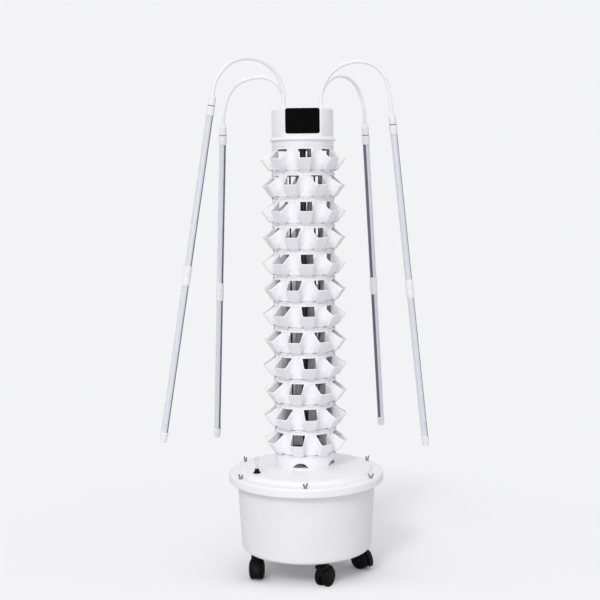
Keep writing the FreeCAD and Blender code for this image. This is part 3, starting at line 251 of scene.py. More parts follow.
def baked(piece):
    """Apply what modifies a piece to its mesh."""
    bpy.context.view_layer.update()
    made = bpy.data.meshes.new_from_object(
        piece.evaluated_get(bpy.context.evaluated_depsgraph_get()))
    old = piece.data
    piece.modifiers.clear()
    piece.data = made
    made.name = piece.name
    if old.users == 0:
        bpy.data.meshes.remove(old)
    return piece


def bevelled(piece, width, segments=2, angle=40.0):
    """Round a piece's edges that are sharper than an angle."""
    rounding = piece.modifiers.new("edges", "BEVEL")
    rounding.width = width * MM
    rounding.segments = segments
    rounding.limit_method = "ANGLE"
    rounding.angle_limit = radians(angle)
    return baked(piece)


def carved(piece, tools):
    """Cut tools out of a piece and delete them."""
    for number, tool in enumerate(tools):
        cutter = piece.modifiers.new(f"cut_{number}", "BOOLEAN")
        cutter.operation = "DIFFERENCE"
        cutter.solver = "EXACT"
        cutter.object = tool
    baked(piece)
    for tool in tools:
        bpy.data.objects.remove(tool)
    return piece


def rounded_box(low, high, radius, steps):
    """A rectangle's outline from one corner to the other, with its four corners rounded."""
    return rounded([(low[0], low[1], radius), (high[0], low[1], radius),
                    (high[0], high[1], radius), (low[0], high[1], radius)], steps)


def raised(outline, height):
    """An outline of (x, y) points laid at a height."""
    return [(x, y, height) for x, y in outline]


def along_y(name, outline, first, last):
    """A solid from an outline of (x, z) points, pulled from one Y to another."""
    return loft(name, [[(x, y, z) for x, z in outline] for y in (first, last)])


def along_z(name, outline, first, last):
    """A solid from an outline of (x, y) points, pulled from one height to another."""
    return loft(name, [raised(outline, first), raised(outline, last)])


def turned(name, corners, detail=4, steps=64):
    """A solid turned about Z from an outline of (radius, height) corners, some rounded."""
    return lathe(name, rounded(corners, detail), steps)


def rod(name, radius, low, high, steps, edge=0.0, detail=4):
    """A round bar about Z, with its edges rounded by a radius."""
    return turned(name, [(0, low), (radius, low, edge), (radius, high, edge), (0, high)],
                  detail, steps)


def joined(name, pieces):
    """One object from several."""
    shape = bmesh.new()
    for piece in pieces:
        shape.from_mesh(piece.data)
        bpy.data.objects.remove(piece)
    return link_shape(name, shape)


def settled(piece, material, body, slot, nodes, angle=32.0):
    """Give a finished piece its material and its body, and hide the nodes it stands for; its slot
    is not used.
    """
    piece.data.materials.clear()
    piece.data.materials.append(material)
    piece.data.polygons.foreach_set("use_smooth", [True] * len(piece.data.polygons))
    piece.data.set_sharp_from_angle(angle=radians(angle))
    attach(piece, body)
    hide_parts(*nodes)


def cad_copy(name, node):
    """A merged copy of a node's mesh, without the edges inside its flat faces."""
    shape = bmesh.new()
    shape.from_mesh(frame["nodes"][node].data)
    bmesh.ops.remove_doubles(shape, verts=shape.verts, dist=0.001 * MM)
    bmesh.ops.dissolve_limit(shape, angle_limit=radians(0.5), verts=shape.verts,
                             edges=shape.edges)
    return link_shape(name, shape)


# Node trees that repeat a shape round the column's axis.

def new_tree(name, sockets):
    """A geometry tree, and the outputs of the node that gives its inputs."""
    tree = bpy.data.node_groups.new(name, "GeometryNodeTree")
    for label, kind in {"Geometry": "Geometry", **sockets, "Material": "Material"}.items():
        tree.interface.new_socket(label, in_out="INPUT", socket_type=f"NodeSocket{kind}")
    tree.interface.new_socket("Geometry", in_out="OUTPUT", socket_type="NodeSocketGeometry")
    return tree, add_node(tree, "NodeGroupInput").outputs


def end_tree(tree, given, geometry):
    """Set the material on a tree's real geometry and give it out."""
    painted = add_node(tree, "GeometryNodeSetMaterial",
                       {"Geometry": geometry, "Material": given["Material"]})
    add_node(tree, "NodeGroupOutput", {"Geometry": painted})
    return tree


def turned_copies(tree, shape, count, step, first=0.0):
    """Real copies of an instance, each turned one step further about Z."""
    many = add_node(tree, "GeometryNodeDuplicateElements", {"Geometry": shape, "Amount": count},
                    domain="INSTANCE")
    steps = add_node(tree, "ShaderNodeMath", {0: many.outputs["Duplicate Index"], 1: step},
                     operation="MULTIPLY")
    angle = add_node(tree, "ShaderNodeMath", {0: steps, 1: first}, operation="ADD")
    way = add_node(tree, "ShaderNodeCombineXYZ", {"Z": angle})
    spread = add_node(tree, "GeometryNodeRotateInstances", {
        "Instances": many, "Rotation": way, "Local Space": False})
    return add_node(tree, "GeometryNodeRealizeInstances", {"Geometry": spread})


def round_copies_tree():
    """Copies of a shape turned about Z, with a material set on them."""
    name = "copies round the axis"
    if name in bpy.data.node_groups:
        return bpy.data.node_groups[name]
    tree, given = new_tree(name, {"Count": "Int", "First Turn": "Float", "Step": "Float"})
    single = add_node(tree, "GeometryNodeGeometryToInstance", {"Geometry": given["Geometry"]})
    return end_tree(tree, given, turned_copies(tree, single, given["Count"], given["Step"],
                                               given["First Turn"]))


def set_on_spots_tree():
    """A shape set on each point, turned by the point's own angle, with a material on it."""
    tree, given = new_tree("set on spots", {"Shape": "Object"})
    shape = add_node(tree, "GeometryNodeObjectInfo", {"Object": given["Shape"]})
    angle = add_node(tree, "GeometryNodeInputNamedAttribute", {"Name": "turn"}, data_type="FLOAT")
    way = add_node(tree, "ShaderNodeCombineXYZ", {"Z": angle})
    many = add_node(tree, "GeometryNodeInstanceOnPoints", {
        "Points": given["Geometry"], "Instance": shape.outputs["Geometry"], "Rotation": way})
    real = add_node(tree, "GeometryNodeRealizeInstances", {"Geometry": many})
    return end_tree(tree, given, real)


def through_tree(piece, tree, values):
    """Pass a piece through a node tree, whose inputs are set by their sockets' identifiers."""
    modifier = piece.modifiers.new(tree.name, "NODES")
    modifier.node_group = tree
    for item in tree.interface.items_tree:
        if item.item_type == "SOCKET" and item.in_out == "INPUT" and item.name in values:
            modifier[item.identifier] = values[item.name]
    return baked(piece)


def copied_round(piece, count, first_turn):
    """Repeat a piece's shape round the axis; the first turn is in degrees."""
    return through_tree(piece, round_copies_tree(), {
        "Count": count, "First Turn": radians(first_turn), "Step": 2 * pi / count})


def planting_ring_tree():
    """A ring's shell less its bore and the hollows of its pockets."""
    tree, given = new_tree("planting ring", {"Pocket Hollow": "Object", "Pockets": "Int",
                                             "Bore Radius": "Float", "Height": "Float"})
    hollow = add_node(tree, "GeometryNodeObjectInfo", {"Object": given["Pocket Hollow"],
                                                       "As Instance": True})
    step = add_node(tree, "ShaderNodeMath", {0: 2 * pi, 1: given["Pockets"]},
                    operation="DIVIDE")
    hollows = turned_copies(tree, hollow.outputs["Geometry"], given["Pockets"], step)
    long_bore = add_node(tree, "ShaderNodeMath", {0: given["Height"], 1: 3.0},
                         operation="MULTIPLY")
    bore = add_node(tree, "GeometryNodeMeshCylinder", {
        "Vertices": 144, "Radius": given["Bore Radius"], "Depth": long_bore})
    emptied = add_node(tree, "GeometryNodeMeshBoolean", {
        "Mesh 1": given["Geometry"], "Mesh 2": bore}, operation="DIFFERENCE")
    tree.links.new(hollows.outputs[0], emptied.inputs["Mesh 2"])
    return end_tree(tree, given, emptied)


# Settings that a user would change.

def length(label, note, millimetres):
    return FloatProperty(name=label, description=note, default=millimetres * MM, unit="LENGTH",
                         min=0.0, precision=4)


def angle(label, note, value):
    return FloatProperty(name=label, description=note, default=radians(value),
                         subtype="ANGLE")


def strength(label, note, value):
    return FloatProperty(name=label, description=note, default=value, min=0.0)


def colour(label, note, text):
    return StringProperty(name=label, description=f"{note}, as an sRGB hex value", default=text)


class RingSettings(bpy.types.PropertyGroup):
    column_radius: length("Column Radius", "Outer radius of a ring's wall", 117.5)
    wall: length("Wall", "Thickness of a ring's wall", 4.5)
    pockets: IntProperty(name="Pockets", description="Pockets round a ring", default=8, min=3)
    top_width: length("Mouth Width", "Outer width of a pocket at its mouth", 54.0)
    sole_width: length("Sole Width", "Outer width of a pocket at its sole", 44.0)
    pocket_wall: length("Pocket Wall", "Wall of a pocket", 3.0)
    tip_radius: length("Tip Radius", "Reach of a pocket's tip from the axis", 161.0)
    tip_height: length("Tip Height", "Height of the tip in its ring", 53.0)
    sole_radius: length("Sole Radius", "Reach of a pocket's sole", 129.0)
    sole_height: length("Sole Height", "Height of the sole in its ring", 9.2)
    lip_height: length("Lip Height", "Height at which the mouth meets the wall", 82.2)
    lintel_height: length("Lintel Height", "Top of a pocket's window", 88.2)
    first_turn: angle("First Turn", "Turn of the top ring", 3.4)
    slip: angle("Slip", "Small turn that adds up from ring to ring", 0.55)


class TankSettings(bpy.types.PropertyGroup):
    low_radius: length("Low Radius", "Tank radius at its underside", 251.0)
    high_radius: length("High Radius", "Tank radius under the flange", 268.0)
    lid_radius: length("Lid Radius", "Outer radius of the lid", 300.0)
    arches: IntProperty(name="Arches", description="Arches round the column's foot", default=5)
    bolts: IntProperty(name="Wing Bolts", description="Wing bolts round the lid", default=6)


class ControllerSettings(bpy.types.PropertyGroup):
    radius: length("Radius", "Radius of the housing", 117.0)
    flat: length("Flat Front", "Distance of the flat front from the axis", 94.0)
    screen_round: length("Screen Corners", "Corner radius of the screen", 8.0)


class LampSettings(bpy.types.PropertyGroup):
    tube_radius: length("Tube Radius", "Radius of a light tube", 13.0)
    holder_radius: length("Holder Radius", "Radius of a tube holder", 15.3)
    # Each strip is turned to its tube's side away from the key light, so that its dark tone paints
    # that side's shade as well as showing the strip.
    strip_1: angle("Strip 1", "Turn of the dark strip of the front left lamp", 10.0)
    strip_2: angle("Strip 2", "Turn of the dark strip of the back left lamp", -8.0)
    strip_3: angle("Strip 3", "Turn of the dark strip of the back right lamp", 212.0)
    strip_4: angle("Strip 4", "Turn of the dark strip of the front right lamp", 8.0)


class CasterSettings(bpy.types.PropertyGroup):
    wheel_radius: length("Wheel Radius", "Radius of the twin wheels", 37.5)


class ColourSettings(bpy.types.PropertyGroup):
    white: colour("White ABS", "Rings, foot and controller", "F6F5F8")
    tank: colour("White Polyethylene", "Tank", "F0EFF1")
    lid: colour("Lid White", "Lid", "F3F3F5")
    sleeve: colour("Off-White ABS", "Lamp sleeves and holders", "F4F3F3")
    tube: colour("Tube Cover", "Frosted light tubes", "EAEAF4")
    # The strip's dark tone is partly painted shade of the tube's side away from the key light.
    strip: colour("Lamp Strip", "Dark strip inside a light tube", "6A6F82")
    black: colour("Black", "Screen, pipe and casters", "0D0D0F")


class StageSettings(bpy.types.PropertyGroup):
    backdrop: colour("Backdrop", "Colour behind the tower", "F3F3F5")
    overhead: strength("Overhead Light", "Strength of the light overhead", 1.03)
    level: strength("Level Light", "Strength of the light at eye level", 0.38)
    key: strength("Key Light", "Strength of the light from the front", 0.95)
    front: strength("Front Panel", "Power of the light panel in front", 22.0)


SETTINGS = {"rings": RingSettings, "tank": TankSettings, "controller": ControllerSettings,
            "lamps": LampSettings, "casters": CasterSettings, "colours": ColourSettings,
            "stage": StageSettings}


def settings(context, name):
    return getattr(context.scene, f"planter_{name}")


def stock(context):
    """The materials, made once and found again by name."""
    hues = settings(context, "colours")
    dull = {"Specular IOR Level": 0.12}
    # Name, colour, tint and its share, roughness and its spread, grain and its depth in mm.
    surfaces = {
        # Injection-moulded ABS: an even, slightly glossy white with a barely visible texture.
        "white": ("moulded white ABS", hues.white, "F1F0F4", 0.5, 0.42, 0.04, 0.9, 0.05,
                  {"IOR": 1.53}),
        # Rotomoulded polyethylene: softer gloss, with the faint waviness of the process.
        "tank": ("rotomoulded white polyethylene", hues.tank, "E9E8EB", 0.5, 0.48, 0.05, 6.0,
                 0.25, {"IOR": 1.51}),
        # The lid comes from another mould: the same plastic, a shade whiter.
        "lid": ("moulded white polyethylene", hues.lid, "F0F0F2", 0.5, 0.45, 0.05, 6.0, 0.2,
                {"IOR": 1.51}),
        # ABS of the lamp fittings: a touch warmer and duller than the tower's white.
        "sleeve": ("moulded off-white ABS", hues.sleeve, "EDEBEA", 0.5, 0.45, 0.04, 0.8, 0.04,
                   {"IOR": 1.53}),
        # Vinyl-coated steel hose of the arms: an even satin white.
        "arm": ("vinyl coated gooseneck", "F7F7F7", "F0F0F0", 0.6, 0.42, 0.05, 1.2, 0.06,
                {"IOR": 1.52}),
        # Black PVC pipe and cable jackets: smooth, with a soft gloss.
        "pipe": ("extruded black PVC", hues.black, "1A1A1D", 0.7, 0.32, 0.06, 1.5, 0.03,
                 {"IOR": 1.53}),
        # Glass-filled black nylon of the casters: dull, with a fine spark-eroded texture.
        "nylon": ("moulded black nylon", "060607", "0E0E10", 0.7, 0.5, 0.07, 0.7, 0.08,
                  {"IOR": 1.53, **dull}),
        # Polyurethane tread: black and duller than the wheel's core.
        "tread": ("black polyurethane tread", "080809", "101012", 0.8, 0.6, 0.08, 0.6, 0.08,
                  {"IOR": 1.5, **dull}),
        # Nitrile rubber of the grommet, the seal and the lamps' seams: dull black.
        "rubber": ("moulded nitrile rubber", "060607", "0C0C0D", 0.7, 0.6, 0.06, 0.5, 0.05,
                   {"IOR": 1.52, **dull}),
        # Zinc-plated pressed steel of the wing bolts: grey metal with cloudy plating.
        "steel": ("zinc plated pressed steel", "9C9DA0", "6F7074", 0.8, 0.34, 0.1, 0.8, 0.04,
                  {"Metallic": 1.0}),
        # Hard-coated display glass: black and glossy, and coated against glare.
        "screen": ("black display glass", "030304", "060607", 0.6, 0.06, 0.01, 8.0, 0.01,
                   {"IOR": 1.5, "Specular IOR Level": 0.05}),
        # Fibreglass board with green solder resist.
        "board": ("green solder resist", "1E4A2C", "16361F", 0.8, 0.35, 0.05, 1.0, 0.05,
                  {"IOR": 1.5}),
        # Anodised strip that carries the lamp's diodes: slate grey and satin. Its dark tone also
        # paints the shade on the tube's side away from the key light.
        "strip": ("dark anodised strip", hues.strip, "5A5F70", 0.8, 0.4, 0.05, 0.7, 0.04,
                  {"IOR": 1.5}),
    }
    made = bpy.data.materials.get
    finishes = {key: made(row[0]) or finish_surface(*row) for key, row in surfaces.items()}
    name = "frosted polycarbonate cover"
    finishes["tube"] = made(name) or frosted_cover(name, hues.tube)
    name = "clear moulded acrylic"
    finishes["clear"] = made(name) or clear_acrylic(name)
    return finishes


def frosted_cover(name, text):
    """Extruded frosted polycarbonate: milky, with some light scattered inside it."""
    material, tree, bsdf, place = new_surface(name, {
        "Base Color": srgb(text), "Roughness": 0.28, "IOR": 1.58, "Subsurface Weight": 0.35,
        "Subsurface Scale": 0.004, "Subsurface Radius": (1.0, 1.0, 1.2)})
    haze = add_node(tree, "ShaderNodeTexNoise", {"Vector": place, "Scale": 60.0, "Detail": 3.0})
    mix = add_node(tree, "ShaderNodeMix", {0: haze, 6: srgb(text), 7: srgb("DFE0F0")},
                   data_type="RGBA")
    tree.links.new(mix.outputs[2], bsdf.inputs["Base Color"])
    return material


def clear_acrylic(name):
    """Clear moulded acrylic: glassy, a little hazy from its mould."""
    material, tree, bsdf, place = new_surface(name, {
        "Base Color": srgb("F4F5F7"), "Transmission Weight": 0.45, "IOR": 1.49})
    haze = add_node(tree, "ShaderNodeTexNoise", {"Vector": place, "Scale": 90.0, "Detail": 2.0})
    gloss = add_node(tree, "ShaderNodeMapRange", {"Value": haze, "To Min": 0.25, "To Max": 0.4})
    tree.links.new(gloss.outputs[0], bsdf.inputs["Roughness"])
    return material


# The planting rings.

def pocket_section(column, half_width, front, corner, half_sector, flare=0.96):
    """Half of a pocket's plan, from its middle (x = 0) to midway between two pockets.

    A concave arc leads from the column's wall into the pocket's side, and a small round corner
    from the side into the flat front. At a flare of 1 the arc starts midway between the pockets.
    Every plan has the same number of points.
    """
    widest = sin(half_sector)
    blend = flare * (column * widest - half_width) / (1 - widest)
    side = (half_width + blend) / (column + blend)
    spread = asin(side)
    centre = Vector(((column + blend) * side, (column + blend) * cos(spread)))
    drop = centre.y - (front - corner)
    bend = asin(min(max(drop, 0.0) / (blend + corner), 1.0))
    corner_x = centre.x - (blend + corner) * cos(bend)
    if drop <= 0:
        corner_x = min(corner_x, half_width - corner)
    points = [(corner_x * step / 4, front) for step in range(4)]
    points += arc(corner, pi / 2, bend, 5, corner_x, front - corner)
    side_x, side_top = points[-1]
    side_foot = centre.y if drop <= 0 else side_top
    points += [(side_x, side_top + (side_foot - side_top) * step / 3) for step in (1, 2)]
    points += arc(blend, pi + bend, pi * 1.5 - spread, 10, *centre)[1:]
    points += [(x, y) for y, x in arc(column, spread, half_sector, 4)[1:]]
    # Nothing dips into the column's wall.
    grown = [max(column / hypot(x, y), 1.0) for x, y in points]
    return [(x * grow, y * grow) for (x, y), grow in zip(points, grown)]


def plan_loop(half, pockets, height):
    """A closed plan made of mirrored halves of one pocket, repeated round the axis."""
    one = [(-x, y) for x, y in half[:0:-1]] + half[:-1]
    turns = [-2 * pi * number / pockets for number in range(pockets)]
    return [(x * cos(turn) - y * sin(turn), x * sin(turn) + y * cos(turn),
             height) for turn in turns for x, y in one]


def ring_shell(name, sizes):
    """A ring's outside as a solid: a round wall with its flared pockets."""
    column = sizes.column_radius / MM
    height = ring_height()
    half_sector = pi / sizes.pockets
    tip_z, sole_z, lip_z = sizes.tip_height / MM, sizes.sole_height / MM, sizes.lip_height / MM
    tip_r, sole_r = sizes.tip_radius / MM, sizes.sole_radius / MM
    top_half, sole_half = sizes.top_width / MM / 2, sizes.sole_width / MM / 2
    mouth_slope = (tip_r - column) / (lip_z - tip_z)
    flare_rise, sole_round, past_lip = 30.0, 5.0, 5.0
    # Height and inset of the levels that round the wall's lower and upper rim.
    rim = ((0.0, 1.0), (0.35, 0.3), (1.2, 0.0))

    def plain(level, inset=0.0):
        half = pocket_section(column, top_half, column * 0.9, 6.0, half_sector)
        scale = (column - inset) / column
        return plan_loop([(x * scale, y * scale) for x, y in half], sizes.pockets, level)

    def pocket(level, inset=0.0):
        share = min(max((level - sole_z) / (tip_z - sole_z), 0.0), 1.0)
        half_width = sole_half + (top_half - sole_half) * share - inset
        if level <= tip_z:
            front = sole_r + (tip_r - sole_r) * share - inset
        else:
            front = tip_r - (level - tip_z) * mouth_slope - inset
        corner = 5.0 + 4.5 * share
        rise = min(max((level - sole_z) / flare_rise, 0.0), 1.0)
        flare = 0.04 + 0.92 * rise * rise * (3 - 2 * rise)
        half = pocket_section(column, half_width, front, corner, half_sector, flare)
        return plan_loop(half, sizes.pockets, level)

    def levels(low, high, steps):
        return [pocket(low + (high - low) * step / steps) for step in range(steps + 1)]

    end = lip_z + past_lip
    loops = [plain(level, inset) for level, inset in rim] + [plain(sole_z)]
    for inset, level in arc(sole_round, -pi / 2, -pi, 5, sole_round,
                            sole_z + sole_round)[:-1]:
        loops.append(pocket(level, inset))
    loops += levels(sole_z + sole_round, tip_z - 1.0, 8)
    loops += [pocket(tip_z - 0.2, 0.25), pocket(tip_z + 0.1, 0.8)]
    loops += levels(tip_z + 0.7, end, 9)
    loops.append(plain(end + 1.5))
    loops += [plain(height - level, inset) for level, inset in rim[::-1]]
    return loft(name, loops)


def pocket_hollow(name, sizes):
    """The hollow that a pocket and its window leave, leaning outwards as the pocket does."""
    wall = sizes.pocket_wall / MM
    tip_z, sole_z = sizes.tip_height / MM, sizes.sole_height / MM
    lean = (sizes.tip_radius - sizes.sole_radius) / (sizes.tip_height - sizes.sole_height)
    wall_shift = wall * hypot(1.0, lean)
    low, high, steps = sole_z + wall, sizes.lintel_height / MM, 10
    back = sizes.column_radius / MM - sizes.wall / MM * 3
    loops = []
    for step in range(steps + 1):
        level = low + (high - low) * step / steps
        share = min(max((level - sole_z) / (tip_z - sole_z), 0.0), 1.0)
        half = (sizes.sole_width + (sizes.top_width - sizes.sole_width) * share) / MM / 2 - wall
        front = sizes.sole_radius / MM + lean * (level - sole_z) - wall_shift
        corner = 3.5 + 4.0 * share
        loops.append(raised(rounded([(-half, back), (half, back), (half, front, corner),
                                     (-half, front, corner)], 5), level))
    return loft(name, loops)


def ring_height():
    low, high = heights("ring_01")
    return high - low


def make_ring_master(context, material):
    """The ring that all twelve are copies of, with its lower edge at zero."""
    sizes = settings(context, "rings")
    hollow = pocket_hollow("pocket_hollow", sizes)
    ring = through_tree(ring_shell("ring_shell", sizes), planting_ring_tree(), {
        "Pocket Hollow": hollow, "Pockets": sizes.pockets, "Height": ring_height() * MM,
        "Bore Radius": sizes.column_radius - sizes.wall, "Material": material})
    bpy.data.objects.remove(hollow)
    return ring


class PLANTER_OT_rings(bpy.types.Operator):
    """Make the twelve planting rings"""
    bl_idname = "planter.rings"
    bl_label = "Planting Rings"

    def execute(self, context):
        sizes = settings(context, "rings")
        white = stock(context)["white"]
        master = make_ring_master(context, white)
        half_pocket = 180 / sizes.pockets
        for number, node in enumerate(RING_NAMES):
            angle = 180 + degrees(sizes.first_turn + sizes.slip * number)
            piece = link_object(f"planting_{node}", master.data.copy())
            moved(piece, shift(z=heights(node)[0]) @ turn_z(angle + half_pocket * (number % 2)))
            settled(piece, white, TOWER, "white_plastic", [node])
        bpy.data.objects.remove(master)
        return {"FINISHED"}


# Column foot and cap, tank and lid.

def make_foot(context):
    sizes = settings(context, "rings")
    arches = settings(context, "tank").arches
    outer, inner = sizes.column_radius / MM, (sizes.column_radius - sizes.wall) / MM
    low, high = heights("column_foot")
    arch_r, arch_drop, first_arch = 34.0, 4.0, -10.0
    foot = turned("column_foot_tube", [(inner, low, 0.3), (outer, low, 0.8), (outer, high, 0.8),
                                       (inner, high, 0.3)], 3, 192)
    arch = rod("arch_tool", arch_r, 0, outer * 1.5, 64)
    moved(arch, shift(z=low - arch_drop) @ Matrix.Rotation(radians(90), 4, "X"))
    copied_round(arch, arches, first_arch)
    return bevelled(carved(foot, [arch]), 0.7)


def make_cap(context):
    sizes = settings(context, "rings")
    outer, inner = sizes.column_radius / MM, sizes.column_radius / MM - 4.5
    low, high = heights("column_cap")
    return turned("column_cap_band", [
        (0, high - 4), (inner, high - 4, 0.5), (inner, low, 0.3), (outer, low, 0.8),
        (outer, high, 0.5), (0, high)], 3, 192)


class PLANTER_OT_column(bpy.types.Operator):
    """Make the column's foot with its arches, and its cap"""
    bl_idname = "planter.column"
    bl_label = "Column Foot and Cap"

    def execute(self, context):
        for make, node in ((make_foot, "column_foot"), (make_cap, "column_cap")):
            settled(make(context), stock(context)["white"], TOWER, "white_plastic", [node])
        return {"FINISHED"}


def make_tank(context):
    sizes = settings(context, "tank")
    low_r, high_r = sizes.low_radius / MM, sizes.high_radius / MM
    low, high = heights("tank_body")
    flange_r, flange_z, wall = 292.0, high - 8.0, 5
    return turned("water_tank", [
        (0, low), (low_r, low, 16), (high_r, flange_z, 5), (flange_r, flange_z, 2),
        (flange_r, high, 2), (high_r - wall, high, 2), (low_r - wall, low + 25, 12),
        (low_r - 25, low + wall, 12), (0, low + wall)], 10, 256)


def make_lid(context):
    rim_r = settings(context, "tank").lid_radius / MM
    low, high = heights("tank_lid")
    collar_r, bore_r, wall = 112.9, 104, 5
    crown = high - 11.0
    step_top = crown - 6.0
    plate = step_top - 15.0
    seat = plate - 12.0
    drain_r, drain_circle, drain_count, pipe_r = 7.0, 74.0, 8, 18.0
    lid = turned("tank_cover", [
        (rim_r - wall, low, 2), (rim_r, low, 2), (rim_r, plate, 10), (262, plate, 9),
        (248, step_top, 9), (collar_r, crown, 3), (collar_r, high, 2), (bore_r, high, 2),
        (bore_r, crown - 2, 3), (pipe_r, crown - 4, 1), (pipe_r, crown - 8, 1),
        (bore_r, crown - 6, 2), (243, step_top - wall, 6), (257, seat, 4),
        (rim_r - wall, seat, 4)], 8, 256)
    drain = rod("drain_hole", drain_r, crown - 20, crown + 6, 24)
    moved(drain, shift(y=-drain_circle))
    copied_round(drain, drain_count, 180 / drain_count)
    return carved(lid, [drain])


def make_wing_bolt():
    """A pressed wing screw, its shank down the axis and its hub's foot at zero."""
    pieces = [
        turned("hub", [(0, 0), (6.5, 0, 1), (4.6, 9, 1.2), (0, 9)], 4, 32),
        lathe("shank", [(0, -31), (3.6, -31), (4.0, -30), (4.0, 0.5), (0, 0.5)], 24),
        rod("washer", 7.6, 0, 1, 32, 0.3, 2)]
    for side in (1, -1):
        outline = rounded([
            (side * 2.0, 1.5), (side * 5.6, 1.5, 1.5), (side * 11.6, 13.0, 2.6),
            (side * 11.0, 18.0, 2.1), (side * 6.4, 18.0, 2.1), (side * 2.0, 6.5, 1.5)], 5)
        pieces.append(bevelled(along_y("wing", outline, -1.5, 1.5), 0.6))
    return joined("wing_bolt", pieces)


# Turn of each wing bolt's wings from the X axis in degrees, from the front bolt on: hand
# tightened, so no two stop alike.
WING_TURNS = (41.0, 5.0, 50.0, 20.0, 125.0, 145.0)


def make_wing_bolts(count, material):
    """The wing bolts on the lid's rim, each turned its own way."""
    circle, first, shank = 283.0, radians(-90.6), 31.0
    level = heights("wing_bolts")[0] + shank
    mesh = bpy.data.meshes.new("wing_screws")
    spots = arc(circle, first, first + 2 * pi, count)[:-1]
    mesh.from_pydata([Vector(spot) * MM for spot in raised(spots, level)], [], [])
    turns = mesh.attributes.new("turn", "FLOAT", "POINT")
    for number in range(count):
        turns.data[number].value = radians(WING_TURNS[number % len(WING_TURNS)])
    bolt = make_wing_bolt()
    bolts = through_tree(link_object("wing_screws", mesh), set_on_spots_tree(),
                         {"Shape": bolt, "Material": material})
    bpy.data.objects.remove(bolt)
    return bolts


class PLANTER_OT_tank(bpy.types.Operator):
    """Make the water tank, its lid and the wing bolts"""
    bl_idname = "planter.tank"
    bl_label = "Tank and Lid"

    def execute(self, context):
        finishes = stock(context)
        for make, finish, node in ((make_tank, "tank", "tank_body"), (make_lid, "lid", "tank_lid")):
            settled(make(context), finishes[finish], TOWER, "white_plastic", [node], 30)
        steel = finishes["steel"]
        bolts = make_wing_bolts(settings(context, "tank").bolts, steel)
        settled(bolts, steel, TOWER, "steel", ["wing_bolts"])
        return {"FINISHED"}


class PLANTER_OT_gauge(bpy.types.Operator):
    """Make the float gauge's grommet, head and rod"""
    bl_idname = "planter.gauge"
    bl_label = "Float Gauge"

    def execute(self, context):
        finishes = stock(context)
        spot = node_middle("gauge_grommet") / MM
        rod_r, head_r, head_height, bell_height = 3, 8.5, 44.0, 16.0
        low, high = heights("gauge_grommet")
        foot, bore = high - bell_height, rod_r + 0.1
        grommet = turned("gauge_bell", [
            (bore, low, 0.3), (9, low, 1), (9, foot, 0.5), (14, foot, 0.8), (13.4, foot + 3, 1.5),
            (8.6, foot + 7, 4), (8, high, 1.5), (bore, high, 0.5)], 4, 48)
        low, high = heights("gauge_rod")
        neck = high - head_height
        head = turned("gauge_head", [
            (0, neck), (4.5, neck, 1), (5.4, neck + 14, 6), (head_r, high - 6, 4),
            (head_r, high, 3), (0, high)], 5, 48)
        stem = joined("gauge_indicator", [head, rod("gauge_stem", rod_r, low, neck + 0.4, 32)])
        for piece, finish, body, slot, node in (
                (grommet, "rubber", TOWER, "black_rubber", "gauge_grommet"),
                (stem, "clear", "float_gauge", "clear_plastic", "gauge_rod")):
            settled(moved(piece, shift(spot.x, spot.y)), finishes[finish], body, slot, [node])
        return {"FINISHED"}


# Controller.

def housing_plan(radius, flat, inset):
    """A round plan with a flat front towards -Y, drawn in by an inset."""
    reach, front = radius - inset, flat - inset
    half = sqrt(reach * reach - front * front)
    start = atan2(-front, half)
    steps = 24
    return arc(reach, start, pi - start, 120) + [
        (-half + 2 * half * step / steps, -front) for step in range(1, steps)]


def make_housing(context):
    sizes = settings(context, "controller")
    radius, flat = sizes.radius / MM, sizes.flat / MM
    low, high = heights("controller_housing")
    edge = 7
    # Inset and height of each level, from the foot to the sunk middle of the top.
    levels = [(0.8, low), (0.2, low + 0.3), (0, low + 0.9), (0, high - edge)]
    levels += arc(edge, pi, pi / 2, 8, edge, high - edge)[1:]
    levels += [(12, high), (12.5, high - 0.6), (14.5, high - 0.6)]
    housing = loft("controller_shell", [raised(housing_plan(radius, flat, inset), level)
                                        for inset, level in levels])
    play, depth = 0.7, 3.5
    tools = [screen_block("screen_recess", play, -flat - 4, -flat + depth,
                          sizes.screen_round / MM + play)]
    slot_middle, slot_turn = high - 23.0, 66.0
    for side in (-1, 1):
        slot = along_y("vent_slot", rounded_box((-3, slot_middle - 17), (3, slot_middle + 17),
                                                2.9, 5), -radius - 5, -radius + 5)
        tools.append(moved(slot, turn_z(slot_turn * side)))
    return carved(housing, tools)


def screen_block(name, play, front, back, corner):
    """A block as wide and high as the screen and a play all round it."""
    low, high = node_low("display_panel") / MM, node_high("display_panel") / MM
    outline = rounded_box((low.x - play, low.z - play), (high.x + play, high.z + play), corner, 8)
    return along_y(name, outline, front, back)


def make_skirt(context):
    radius = settings(context, "controller").radius / MM
    low, high = heights("controller_base")
    lip = node_high("controller_base").x / MM
    inner = settings(context, "rings").column_radius / MM + 0.1
    cap = heights("column_cap")[1]
    return turned("controller_skirt", [
        (inner, low, 0.5), (lip, low, 1.0), (lip, low + 2.4, 1.6), (radius + 2.2, high - 1.5, 4.0),
        (radius + 1.2, high, 0.8), (0, high), (0, cap), (inner, cap, 0.5)], 5, 256)


